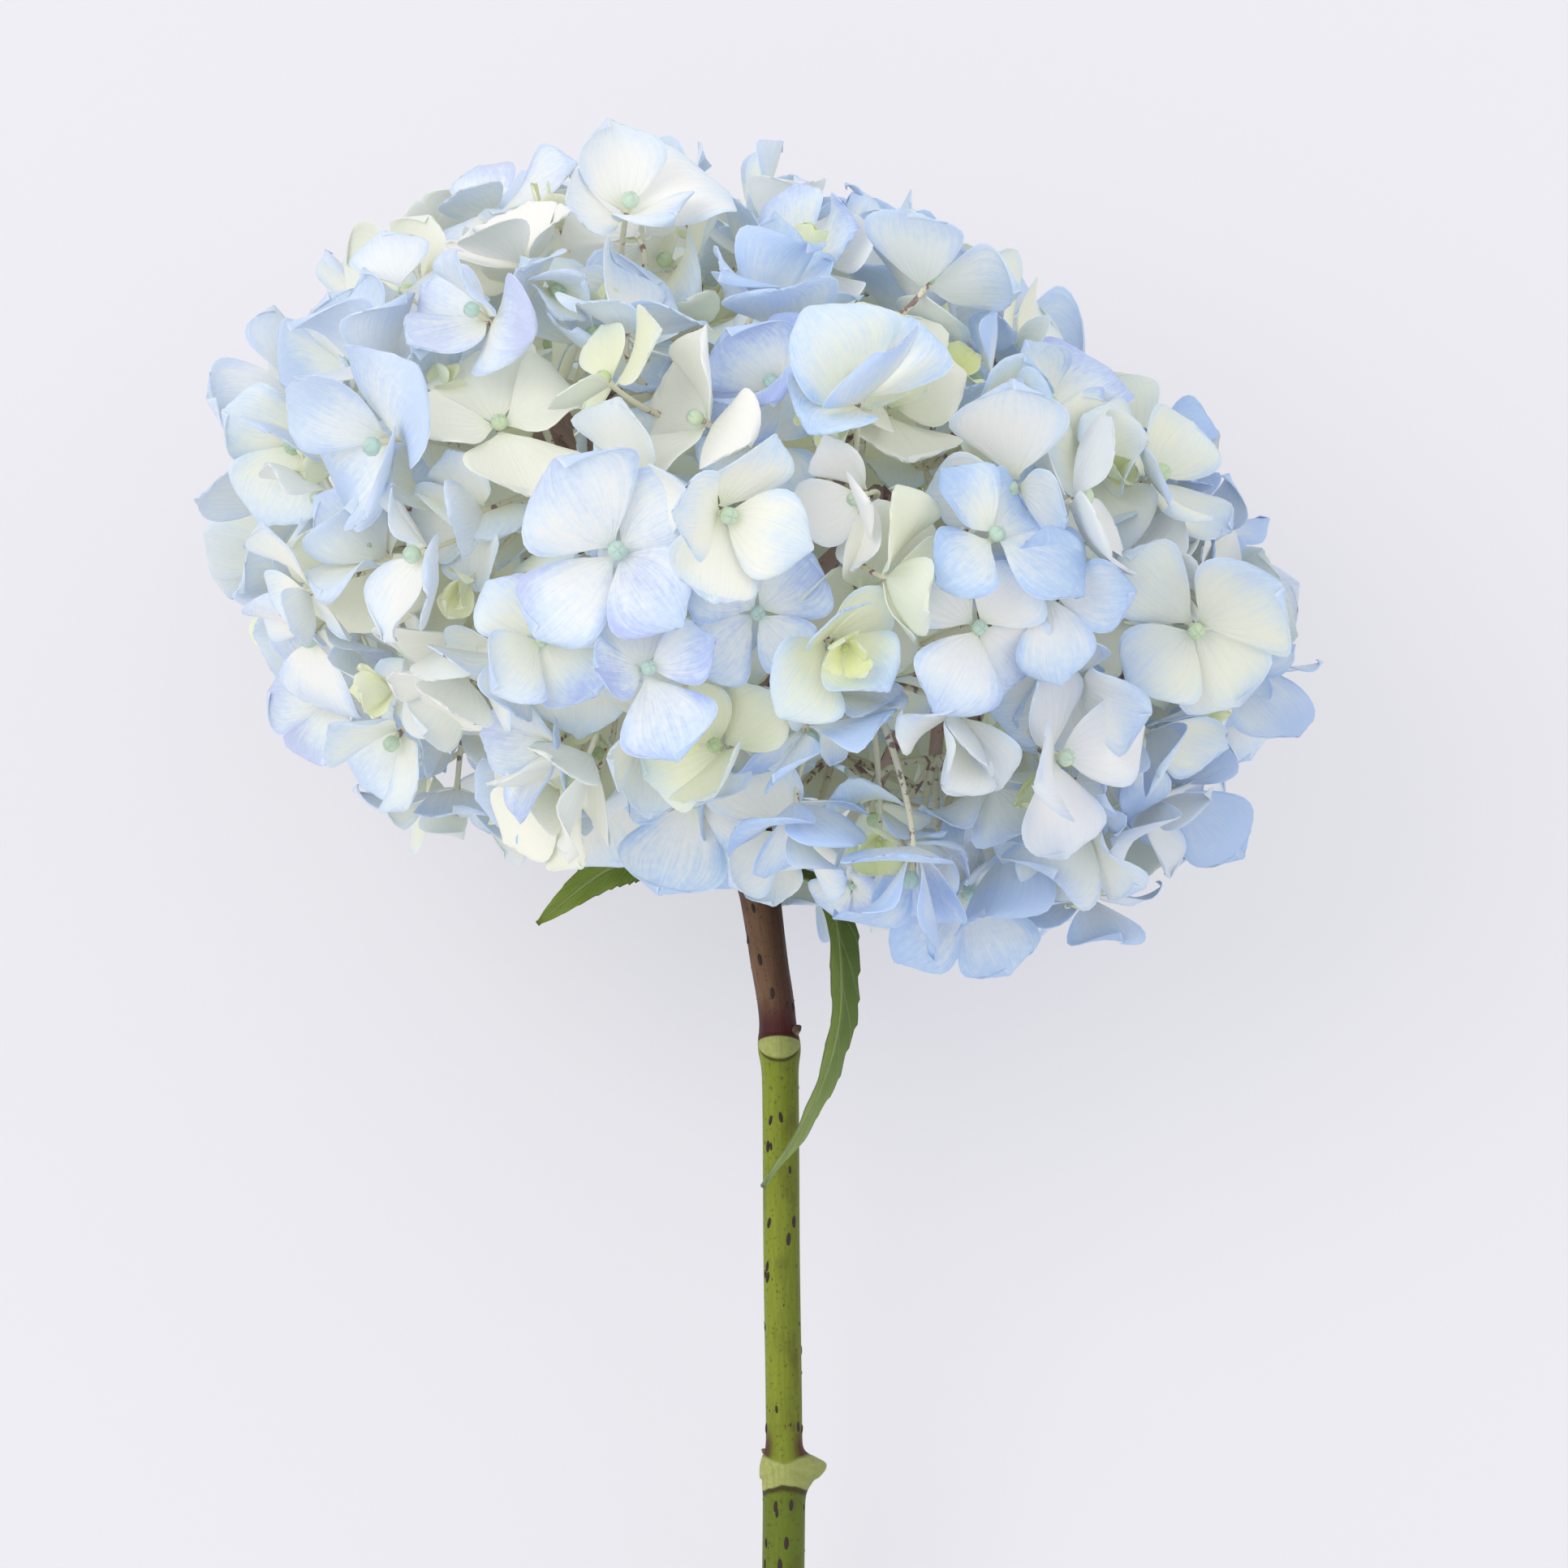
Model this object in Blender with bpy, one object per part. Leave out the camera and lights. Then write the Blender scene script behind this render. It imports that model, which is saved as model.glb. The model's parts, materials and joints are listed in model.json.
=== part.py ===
"""Cut mophead hydrangea, laid down as it rests on a table.

The flower is first set out as it grew: the origin is the stem's upper leaf joint, +Y runs up the
stem into the head, +X is to the right of the stem's best side and +Z stands out of that side.
It is then laid down: the head rests on its back florets and the stem slopes down from it until
its cut end touches the table.
"""
import math
import random

import bmesh
import bpy
from mathutils import Matrix, Quaternion, Vector

MM = 0.001

# The head: a flattened dome of florets, whose own axis leans away from the stem's.
HEAD_CENTRE = Vector((-4.5, 79.0, 0.0)) * MM
HEAD_LEAN = math.radians(15.8)
HEAD_RADII = Vector((86.0, 61.0, 80.0)) * MM
HEAD_DENTS = ((42.0, 0.09, 26.0), (255.0, 0.15, 22.0))
HEAD_HEIGHT = 71.5 * MM
CORE_SHARE = 0.74

# The florets.
FLORETS = 97
SPIRAL_TURN = math.pi * (3.0 - math.sqrt(5.0))
SPIRAL_END = -0.97
FLORET_SEED = 23
SEPAL_REACH = 17.5 * MM
SEPAL_THICKNESS = 0.7 * MM
SEPALS = 4
SHOULDER_AT = 0.68
SHOULDER_ANGLE = math.radians(41.5)
BROW_ANGLE = math.radians(17.0)
THROAT_DEPTH = 0.4 * MM
THROAT_RADIUS = 2.4 * MM
SMALLEST_REACH = 6.5 * MM
STALK_LENGTH = 31.0 * MM
CLEAR_OF_STEM = 5.5 * MM
CLEAR_OF_LEAF = 7.0 * MM

# Where the head presses on the table.
PRESS_FROM = 20.0 * MM
PRESS_SHARE = 0.86
TOUCH_HEIGHT = 0.9 * MM
PRESS_DEPTH = 28.0 * MM
TABLE_LAYERS = 3
TABLE_LAYER_STEP = 0.25 * MM

# The stem: its middle line, its joints and its thickness.
STEM_LINE = [
    Vector(point) * MM
    for point in (
        (-3.2, -200.0, 0.0),
        (-1.2, -150.0, 0.8),
        (0.2, -110.0, 0.0),
        (0.8, -69.0, 0.0),
        (0.4, -35.0, 0.6),
        (0.0, 0.0, 0.0),
        (-1.8, 15.0, 0.0),
        (-3.9, 30.0, 0.0),
        (-5.5, 42.0, 0.0),
    )
]
STEM_SIDES = 14
STEM_RADII = ((-200.0, 3.55), (-71.0, 3.50), (-66.0, 3.0), (0.0, 3.0), (4.0, 3.2), (42.0, 3.7))
JOINTS = ((-150.0, 0.8, 0.0), (-69.0, 0.8, 90.0), (0.0, 0.7, 0.0), (29.0, 0.6, 90.0))
JOINT_LENGTH = 2.6 * MM
SCAR_RISE = 0.6 * MM
CUT_SLANT = 0.55
SEAT_GAP = 0.3 * MM
BUD_LENGTH = 3.4 * MM
BUD_RADIUS = 1.5 * MM
BUD_SIDES = 6

# The two small leaves at the joint under the head.
LEAF_THICKNESS = 0.8 * MM
LEAF_STATIONS = 27
LEAF_TOOTH = 0.10
LEAF_FOLD = math.radians(24.0)
LEFT_LEAF = (
    Vector((-8.8, 29.5, -1.2)) * MM,
    Vector((-17.0, 31.0, -7.0)) * MM,
    Vector((-28.0, 29.0, -11.0)) * MM,
    Vector((-40.0, 20.0, -10.0)) * MM,
)
RIGHT_LEAF = (
    Vector((1.1, 28.0, 1.2)) * MM,
    Vector((8.0, 24.0, 6.0)) * MM,
    Vector((9.6, 6.0, 10.5)) * MM,
    Vector((5.0, -10.0, 10.0)) * MM,
    Vector((-2.8, -22.5, 8.0)) * MM,
)


def laying_turn():
    """The angle that brings the cut end and the pressed florets to one level."""
    drop = STEM_RADII[0][1] * MM
    run = HEAD_CENTRE.y - STEM_LINE[0].y + CUT_SLANT * drop
    return math.asin(HEAD_HEIGHT / math.hypot(run, drop)) - math.atan2(drop, run)


LAYING = (
    Matrix.Translation((0.0, 0.0, HEAD_HEIGHT - HEAD_CENTRE.y * math.sin(laying_turn())))
    @ Matrix.Rotation(laying_turn(), 4, "X")
)


def material(name, colour, roughness):
    finish = bpy.data.materials.new(name)
    finish.use_nodes = True
    shader = finish.node_tree.nodes["Principled BSDF"]
    shader.inputs["Base Color"].default_value = (*colour, 1.0)
    shader.inputs["Roughness"].default_value = roughness
    shader.inputs["Metallic"].default_value = 0.0
    return finish


def mesh_object(name, points, faces, finish):
    """A closed mesh with its faces turned outwards."""
    mesh = bpy.data.meshes.new(name)
    mesh.from_pydata(points, [], faces)
    shape = bmesh.new()
    shape.from_mesh(mesh)
    bmesh.ops.recalc_face_normals(shape, faces=shape.faces)
    shape.to_mesh(mesh)
    shape.free()
    mesh.materials.append(finish)
    thing = bpy.data.objects.new(name, mesh)
    bpy.context.scene.collection.objects.link(thing)
    return thing


def fuse(body, additions):
    """One union of the body and all the additions, applied."""
    group = bpy.data.collections.new(body.name + "_additions")
    bpy.context.scene.collection.children.link(group)
    for addition in additions:
        bpy.context.scene.collection.objects.unlink(addition)
        group.objects.link(addition)
    union = body.modifiers.new("union", "BOOLEAN")
    union.operation = "UNION"
    union.operand_type = "COLLECTION"
    union.collection = group
    union.solver = "MANIFOLD"
    depsgraph = bpy.context.evaluated_depsgraph_get()
    joined = bpy.data.meshes.new_from_object(body.evaluated_get(depsgraph))
    body.modifiers.remove(union)
    body.data = joined
    for addition in additions:
        bpy.data.objects.remove(addition)
    bpy.data.collections.remove(group)


def curve_point(points, share):
    """A point on the smooth curve through the points (Catmull-Rom), share from 0 to 1."""
    spans = len(points) - 1
    span = min(int(share * spans), spans - 1)
    t = share * spans - span
    before = points[max(span - 1, 0)]
    start = points[span]
    end = points[span + 1]
    after = points[min(span + 2, spans)]
    return 0.5 * (
        2.0 * start
        + (end - before) * t
        + (2.0 * before - 5.0 * start + 4.0 * end - after) * t**2
        + (3.0 * start - before - 3.0 * end + after) * t**3
    )


def curve_points(points, count):
    return [curve_point(points, index / (count - 1)) for index in range(count)]


def step_between(pairs, value):
    """The value read off a polyline of (position, value) pairs."""
    for (low, first), (high, last) in zip(pairs, pairs[1:]):
        if value <= high:
            return first + (last - first) * (value - low) / (high - low)
    return pairs[-1][1]


# Stem ---------------------------------------------------------------------------------------


def stem_stations():
    """Heights of the rings: close together at the joints, wide apart between them."""
    heights = set()
    for joint, _, _ in JOINTS:
        heights.update(joint + offset for offset in (-5.0, -2.6, -1.2, 0.0, 1.2, 2.6, 5.0))
    heights.update((-199.0, -197.0, -175.0, -128.0, -95.0, -48.0, -35.0, -20.0, 10.0, 18.0, 42.0))
    return sorted(heights)


def stem_centre(height):
    """The point of the stem's middle line at a height."""
    points = curve_points(STEM_LINE, 120)
    for low, high in zip(points, points[1:]):
        if height <= high.y:
            return low.lerp(high, (height - low.y) / (high.y - low.y))
    return points[-1].copy()


def stem_radius(height, angle):
    """Thickness with a swelling at each joint and a raised leaf scar on its two sides."""
    radius = step_between(STEM_RADII, height / MM) * MM
    for joint, swell, scar_angle in JOINTS:
        away = (height - joint * MM) / JOINT_LENGTH
        ring = math.exp(-(away**2))
        facing = abs(math.cos(angle - math.radians(scar_angle) - math.pi / 2.0)) ** 6
        radius += ring * (swell * MM + SCAR_RISE * facing)
    return radius


def make_stem():
    points = []
    faces = []
    heights = [height * MM for height in stem_stations()]
    for height in heights:
        centre = stem_centre(height)
        for side in range(STEM_SIDES):
            angle = math.tau * (side + 0.5) / STEM_SIDES
            radius = stem_radius(height, angle)
            across = math.cos(angle) * radius
            out = math.sin(angle) * radius
            slant = CUT_SLANT * out if height == heights[0] else 0.0
            points.append(LAYING @ (centre + Vector((across, slant, out))))
    for ring in range(len(heights) - 1):
        for side in range(STEM_SIDES):
            here = ring * STEM_SIDES + side
            beside = ring * STEM_SIDES + (side + 1) % STEM_SIDES
            faces.append((here, beside, beside + STEM_SIDES, here + STEM_SIDES))
    last = (len(heights) - 1) * STEM_SIDES
    faces.append(tuple(range(STEM_SIDES)))
    faces.append(tuple(range(last, last + STEM_SIDES)))
    stem = mesh_object("stem", points, faces, material("stem", (0.24, 0.26, 0.08), 0.55))
    fuse(stem, [make_bud(*place) for place in bud_places()])
    return stem


def bud_places():
    """Root, direction and size share of each bud stub at the joints."""
    places = []
    for joint, turn, share in ((0.0, 30.0, 0.8), (-69.0, 4.0, 1.0), (-69.0, 182.0, 0.6),
                               (-150.0, 95.0, 0.9), (-150.0, 268.0, 0.8)):
        angle = math.radians(turn)
        out = Vector((math.cos(angle), 0.0, math.sin(angle)))
        height = (joint + 2.2) * MM
        root = stem_centre(height) + out * (stem_radius(height, angle) - 1.0 * MM)
        places.append((root, (out + Vector((0.0, 0.7, 0.0))).normalized(), share))
    return places


def make_bud(root, direction, share):
    """A stubby six-sided cone with its root inside the stem."""
    turn = direction.to_track_quat("Z", "Y")
    points = []
    for height, width in ((0.0, 1.0), (0.6, 0.85)):
        for side in range(BUD_SIDES):
            angle = math.tau * side / BUD_SIDES
            ring = Vector((math.cos(angle), math.sin(angle), 0.0)) * BUD_RADIUS * width * share
            lift = Vector((0.0, 0.0, height * BUD_LENGTH * share))
            points.append(LAYING @ (root + turn @ (ring + lift)))
    points.append(LAYING @ (root + direction * BUD_LENGTH * share))
    faces = [tuple(range(BUD_SIDES))]
    for side in range(BUD_SIDES):
        beside = (side + 1) % BUD_SIDES
        faces.append((side, beside, beside + BUD_SIDES, side + BUD_SIDES))
        faces.append((side + BUD_SIDES, beside + BUD_SIDES, 2 * BUD_SIDES))
    return mesh_object("bud", points, faces, bpy.data.materials["stem"])


# Leaves -------------------------------------------------------------------------------------


def leaf_width(share):
    """Half width along the leaf: a short stalk, a full middle and a drawn-out tip."""
    stalk = 0.16 * math.exp(-((share / 0.10) ** 2))
    blade = math.sin(math.pi * min(share, 1.0) ** 0.8) ** 0.75 * (1.0 - 0.25 * share)
    return stalk + blade


def make_leaf(name, line, half_width, face_from, face_to):
    """A thin folded blade along a curved midrib, with saw teeth down both edges."""
    points = []
    for station in range(LEAF_STATIONS):
        share = station / (LEAF_STATIONS - 1)
        centre = curve_point(line, share)
        ahead = curve_point(line, min(share + 0.01, 1.0))
        behind = curve_point(line, max(share - 0.01, 0.0))
        along = (ahead - behind).normalized()
        facing = face_from.lerp(face_to, share)
        facing = (facing - along * facing.dot(along)).normalized()
        side = along.cross(facing)
        tooth = 1.0 + LEAF_TOOTH * (1.0 if station % 2 else -1.0)
        width = max(half_width * leaf_width(share) * tooth, 0.5 * MM)
        rise = facing * LEAF_THICKNESS / 2.0
        for across in (-1.0, 0.0, 1.0):
            edge = side * across * width * math.cos(LEAF_FOLD)
            lift = facing * abs(across) * width * math.sin(LEAF_FOLD)
            points.append(LAYING @ (centre + edge + lift + rise))
            points.append(LAYING @ (centre + edge + lift - rise))
    faces = []
    for station in range(LEAF_STATIONS - 1):
        here = station * 6
        there = here + 6
        for left, right in ((0, 2), (2, 4)):
            for level in (0, 1):
                faces.append((here + left + level, here + right + level, there + right + level))
                faces.append((here + left + level, there + right + level, there + left + level))
        for edge in (0, 4):
            faces.append((here + edge, here + edge + 1, there + edge + 1, there + edge))
    for end in (0, (LEAF_STATIONS - 1) * 6):
        faces.append((end, end + 1, end + 3, end + 2))
        faces.append((end + 2, end + 3, end + 5, end + 4))
    return mesh_object(name, points, faces, material(name, (0.19, 0.30, 0.08), 0.5))


# Head ---------------------------------------------------------------------------------------


def dome_point(direction, share):
    """The point of the dome's surface, or a share of it, in a direction from its centre."""
    lean = Quaternion((0.0, 0.0, 1.0), -HEAD_LEAN)
    flat = lean @ direction
    angle = math.degrees(math.atan2(flat.y, flat.x))
    size = share
    for dent_angle, depth, spread in HEAD_DENTS:
        away = (angle - dent_angle + 180.0) % 360.0 - 180.0
        size *= 1.0 - depth * math.exp(-((away / spread) ** 2)) * (1.0 - flat.z**2)
    return HEAD_CENTRE + lean @ (Vector(a * b for a, b in zip(direction, HEAD_RADII)) * size)


def dome_normal(direction):
    lean = Quaternion((0.0, 0.0, 1.0), -HEAD_LEAN)
    return (lean @ Vector(a / b for a, b in zip(direction, HEAD_RADII))).normalized()


def pressed(point):
    """Florets under the head's lowest stretch are squeezed up by the table."""
    if point.z >= PRESS_FROM:
        return point
    height = max(TOUCH_HEIGHT, PRESS_FROM - (PRESS_FROM - point.z) * PRESS_SHARE)
    return Vector((point.x, point.y, height))


def distance_to_line(point, line):
    """The shortest distance from a point to a polyline."""
    shortest = math.inf
    for start, end in zip(line, line[1:]):
        along = end - start
        share = max(0.0, min(1.0, (point - start).dot(along) / along.length_squared))
        shortest = min(shortest, (point - start - along * share).length)
    return shortest


def spiral_cosines():
    """Cosines of the florets' angles from the dome's top, spaced by the dome's true area."""
    steps = 400
    wide = HEAD_RADII.x
    tall = HEAD_RADII.y
    cosines = [1.0 - (1.0 - SPIRAL_END) * (step + 0.5) / steps for step in range(steps)]
    areas = [math.sqrt((wide * c) ** 2 + tall**2 * (1.0 - c**2)) for c in cosines]
    total = sum(areas)
    chosen = []
    covered = 0.0
    for cosine, area in zip(cosines, areas):
        covered += area / total * FLORETS
        if covered > len(chosen) + 0.5:
            chosen.append(cosine)
    return chosen


def floret_places():
    """Where each floret sits, how it faces, how far its sepals reach and its number."""
    draw = random.Random(FLORET_SEED)
    keep_clear = (
        (STEM_LINE, CLEAR_OF_STEM),
        (curve_points(LEFT_LEAF, 12), CLEAR_OF_LEAF),
        (curve_points(RIGHT_LEAF, 12), CLEAR_OF_LEAF),
    )
    places = []
    for number, cosine in enumerate(spiral_cosines()):
        around = number * SPIRAL_TURN + draw.uniform(-0.10, 0.10)
        sine = math.sqrt(1.0 - cosine**2)
        direction = Vector((sine * math.cos(around), cosine, sine * math.sin(around)))
        centre = dome_point(direction, draw.uniform(0.95, 1.05))
        wander = Vector([draw.uniform(-0.32, 0.32) for _ in range(3)])
        facing = (dome_normal(direction) + wander).normalized()
        reach = SEPAL_REACH * draw.uniform(0.86, 1.14)
        spin = draw.uniform(0.0, math.tau)
        room = min(distance_to_line(centre, line) - clear for line, clear in keep_clear)
        if room < SMALLEST_REACH:
            continue
        reach = min(reach, room)
        laid = LAYING @ centre
        squeeze = max(0.0, (PRESS_FROM - laid.z) / PRESS_DEPTH)
        facing = (LAYING.to_quaternion() @ facing).lerp(Vector((0.0, 0.0, -1.0)), squeeze)
        turn = facing.to_track_quat("Z", "Y") @ Quaternion((0.0, 0.0, 1.0), spin)
        places.append((pressed(laid), turn, reach, number))
    return places


def sepal_outline(number, sepal):
    """Four outline points of one sepal as shares of the reach: angle, distance and height."""
    length = 1.0 - 0.12 * ((number + 2 * sepal) % 4) / 3.0
    wave = 0.10 * math.cos(2.1 * number + 1.7 * sepal)
    cup = 0.10 * math.sin(1.3 * number)
    return (
        (-SHOULDER_ANGLE, SHOULDER_AT * length, 0.05 + wave),
        (-BROW_ANGLE, length, cup + 0.5 * wave),
        (BROW_ANGLE, length, cup - 0.5 * wave),
        (SHOULDER_ANGLE, SHOULDER_AT * length, 0.05 - wave),
    )


def make_floret(place, turn, reach, number, core_middle):
    """Four broad sepals round a throat, on a stalk that runs down into the core."""
    half = SEPAL_THICKNESS / 2.0
    ring = []
    for sepal in range(SEPALS):
        middle = math.tau * sepal / SEPALS
        valley = middle - math.pi / SEPALS
        ring.append(Vector((math.cos(valley), math.sin(valley), 0.0)) * THROAT_RADIUS)
        for angle, share, height in sepal_outline(number, sepal):
            out = Vector((math.cos(middle + angle), math.sin(middle + angle), 0.0))
            ring.append(out * reach * share + Vector((0.0, 0.0, reach * height)))
    above = [place + turn @ (point + Vector((0.0, 0.0, half))) for point in ring]
    below = [place + turn @ (point - Vector((0.0, 0.0, half))) for point in ring]
    first_above = above[0]
    above, below = rest_on_table(above, below, turn, number)
    throat = place + above[0] - first_above + turn @ Vector((0.0, 0.0, half - THROAT_DEPTH))
    root = place.lerp(core_middle, stalk_share(place, core_middle))
    points = [*above, *below, throat, root]
    count = len(ring)
    per_sepal = count // SEPALS
    throat_index = 2 * count
    root_index = throat_index + 1
    faces = []
    for sepal in range(SEPALS):
        first = sepal * per_sepal
        left, far_left, far_right, right = range(first + 1, first + per_sepal)
        after = (first + per_sepal) % count
        top = ((throat_index, first, left), (throat_index, left, right),
               (throat_index, right, after))
        blade = ((left, far_left, far_right), (left, far_right, right))
        faces.extend(top)
        faces.extend(blade)
        under = ((first, left, right), (first, right, after))
        for triangle in (*under, *blade):
            faces.append(tuple(index + count for index in reversed(triangle)))
        faces.append((first + count, after + count, root_index))
    for index in range(count):
        beside = (index + 1) % count
        faces.append((index, index + count, beside + count))
        faces.append((index, beside + count, beside))
    return mesh_object("floret", points, faces, bpy.data.materials["flower_head"])


def stalk_share(place, core_middle):
    """How far the stalk runs towards the core's middle, to end well inside the core."""
    return min(0.65, STALK_LENGTH / (place - core_middle).length)


def rest_on_table(above, below, turn, number):
    """Lifts a floret that stands on edge clear of the table, and flattens one that faces it."""
    level = (number % TABLE_LAYERS) * TABLE_LAYER_STEP
    lowest = min(point.z for point in (*above, *below))
    if lowest >= level:
        return above, below
    facing = turn @ Vector((0.0, 0.0, 1.0))
    if facing.z > -0.75:
        shift = Vector((0.0, 0.0, level - lowest))
        return [point + shift for point in above], [point + shift for point in below]
    flat_above = []
    flat_below = []
    for high, low in zip(above, below):
        shift = Vector((0.0, 0.0, max(0.0, level - min(high.z, low.z))))
        flat_above.append(high + shift)
        flat_below.append(low + shift)
    return flat_above, flat_below


def make_core():
    """The crowded branches and inner florets, as one plain dome with a flat seat at the stem."""
    shape = bmesh.new()
    bmesh.ops.create_icosphere(shape, subdivisions=3, radius=1.0)
    for point in shape.verts:
        point.co = dome_point(point.co.normalized(), CORE_SHARE)
    seat = stem_centre(STEM_LINE[-1].y) + Vector((0.0, SEAT_GAP, 0.0))
    bmesh.ops.bisect_plane(
        shape,
        geom=[*shape.verts, *shape.edges, *shape.faces],
        dist=0.00001,
        plane_co=seat,
        plane_no=(0.0, -1.0, 0.0),
        clear_outer=True,
    )
    bmesh.ops.holes_fill(shape, edges=[edge for edge in shape.edges if edge.is_boundary])
    for point in shape.verts:
        point.co = pressed(LAYING @ point.co)
    mesh = bpy.data.meshes.new("flower_head")
    shape.to_mesh(mesh)
    shape.free()
    points = [point.co.copy() for point in mesh.vertices]
    faces = [tuple(face.vertices) for face in mesh.polygons]
    finish = material("flower_head", (0.80, 0.83, 0.86), 0.6)
    return mesh_object("flower_head", points, faces, finish)


def make_head():
    head = make_core()
    middle = LAYING @ HEAD_CENTRE
    fuse(head, [make_floret(*place, middle) for place in floret_places()])
    return head


def main():
    for thing in list(bpy.data.objects):
        bpy.data.objects.remove(thing)
    parts = [
        make_stem(),
        make_leaf("leaf_left", LEFT_LEAF, 7.5 * MM, Vector((0.2, 0.5, 1.0)), Vector((0.3, 0.2, 1.0))),
        make_leaf("leaf_right", RIGHT_LEAF, 4.3 * MM, Vector((0.7, 0.7, 0.6)), Vector((0.9, 0.1, 0.8))),
        make_head(),
    ]
    corners = [point.co for part in parts for point in part.data.vertices]
    low = Vector([min(corner[axis] for corner in corners) for axis in range(3)])
    high = Vector([max(corner[axis] for corner in corners) for axis in range(3)])
    base = Vector(((low.x + high.x) / 2.0, (low.y + high.y) / 2.0, low.z))
    for part in parts:
        part.data.transform(Matrix.Translation(-base))


main()
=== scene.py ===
"""A cut mophead hydrangea laid on its side: the looks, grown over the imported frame."""

import json
import math
import random
from collections import namedtuple

import bmesh
import bpy
import numpy as np
from mathutils import Matrix, Quaternion, Vector
from mathutils.bvhtree import BVHTree

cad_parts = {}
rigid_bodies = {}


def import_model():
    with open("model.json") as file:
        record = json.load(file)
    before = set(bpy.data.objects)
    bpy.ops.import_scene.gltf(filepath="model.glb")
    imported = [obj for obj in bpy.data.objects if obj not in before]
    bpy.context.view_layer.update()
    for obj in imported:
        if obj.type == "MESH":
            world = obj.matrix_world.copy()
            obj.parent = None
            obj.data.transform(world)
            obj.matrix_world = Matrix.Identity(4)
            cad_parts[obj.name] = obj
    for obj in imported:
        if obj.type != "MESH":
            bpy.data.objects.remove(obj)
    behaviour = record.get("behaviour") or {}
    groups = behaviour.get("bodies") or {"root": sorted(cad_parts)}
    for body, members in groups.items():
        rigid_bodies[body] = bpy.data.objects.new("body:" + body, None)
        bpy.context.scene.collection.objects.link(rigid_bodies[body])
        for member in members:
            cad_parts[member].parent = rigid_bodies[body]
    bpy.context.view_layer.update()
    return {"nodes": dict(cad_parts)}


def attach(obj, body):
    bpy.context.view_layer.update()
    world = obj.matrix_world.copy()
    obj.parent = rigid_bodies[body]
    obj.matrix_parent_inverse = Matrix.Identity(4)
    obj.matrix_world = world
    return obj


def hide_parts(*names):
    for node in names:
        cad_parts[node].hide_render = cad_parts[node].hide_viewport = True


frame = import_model()

MM = 0.001
ALONG = Vector((0.0, 1.0, 0.0))
UP = Vector((0.0, 0.0, 1.0))


def places_in_mm(*points):
    return [Vector(point) * MM for point in points]


# The flower as it grew: the upper leaf joint is the origin, +Y runs up into the head and +Z is
# the side that faces up once it lies down.
HEAD_CENTRE = Vector((-4.5, 79.0, 0.0)) * MM
HEAD_LEAN = math.radians(15.8)
HEAD_RADII = Vector((86.0, 61.0, 80.0)) * MM
# Dents in the head's outline: angle round it, depth and spread.
HEAD_DENTS = ((42.0, 0.09, 26.0), (47.0, 0.08, 12.0), (255.0, 0.19, 22.0))
HEAD_HEIGHT = 71.5 * MM
# A small opening among the florets, where the branches show.
HEAD_GAP = Vector((25.0, 44.0, 0.0)) * MM
GAP_REACH = 8.0 * MM
SPIRAL_TURN = math.pi * (3.0 - math.sqrt(5.0))
SPIRAL_END = -0.97
SPIRAL_STEPS = 400
SMALLEST_REACH = 6.5 * MM
CLEAR_OF_STEM = 5.5 * MM
CLEAR_OF_LEAF = 7.0 * MM
# The table squeezes what lies under PRESS_FROM; nothing's middle comes under TOUCH_HEIGHT.
PRESS_FROM = 20.0 * MM
PRESS_SHARE = 0.86
PRESS_DEPTH = 28.0 * MM
TOUCH_HEIGHT = 0.9 * MM
FACING_DOWN = -0.75
SOFT_HEIGHT = 2.0 * MM
STEM_LINE = places_in_mm(
    (-3.2, -200.0, 0.0),
    (-1.2, -150.0, 0.8),
    (0.2, -110.0, 0.0),
    (0.8, -69.0, 0.0),
    (0.4, -35.0, 0.6),
    (0.0, 0.0, 0.0),
    (-1.8, 15.0, 0.0),
    (-3.9, 30.0, 0.0),
    (-5.5, 42.0, 0.0),
)
# The stem's radius by height, and its leaf joints: height, swelling and the angle of their scars.
STEM_RADII = (
    (-200.0, 3.55),
    (-71.0, 3.50),
    (-66.0, 3.0),
    (4.0, 3.0),
    (18.0, 3.15),
    (28.0, 3.45),
    (42.0, 3.7),
)
JOINTS = ((-150.0, 0.8, 0.0), (-69.0, 0.8, 90.0), (0.0, 0.7, 0.0), (29.0, 0.6, 90.0))
CUT_SLANT = 0.55
LEFT_LEAF = places_in_mm(
    (-8.8, 29.5, -1.2), (-17.0, 31.0, -7.0), (-28.0, 29.0, -11.0), (-40.0, 20.0, -10.0)
)
RIGHT_LEAF = places_in_mm(
    (1.1, 28.0, 1.2), (8.0, 24.0, 6.0), (9.6, 6.0, 10.5), (5.0, -10.0, 10.0), (-2.8, -22.5, 8.0)
)

# The camera looks square on to the stem, over a field as wide as this at the stem.
FIELD_WIDTH = 257.0 * MM
FIELD_CENTRE = Vector((0.8, 43.1, 0.0)) * MM
CAMERA_DISTANCE = 1.25
SENSOR_WIDTH = 36.0


# Laying the flower down ----------


def laying():
    """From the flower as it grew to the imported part's frame, matched at the cut's lowest point."""
    drop = STEM_RADII[0][1] * MM
    run = HEAD_CENTRE.y - STEM_LINE[0].y + CUT_SLANT * drop
    turn = math.asin(HEAD_HEIGHT / math.hypot(run, drop)) - math.atan2(drop, run)
    laid = Matrix.Rotation(turn, 4, "X")
    tip = laid @ (STEM_LINE[0] + Vector((0.0, -CUT_SLANT * drop, -drop)))
    corners = [point.co for point in frame["nodes"]["stem"].data.vertices]
    return Matrix.Translation(min(corners, key=lambda corner: corner.y) - tip) @ laid


LAYING = laying()
LAYING_TURN = LAYING.to_quaternion()
STEM_UP = LAYING_TURN @ ALONG


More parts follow.
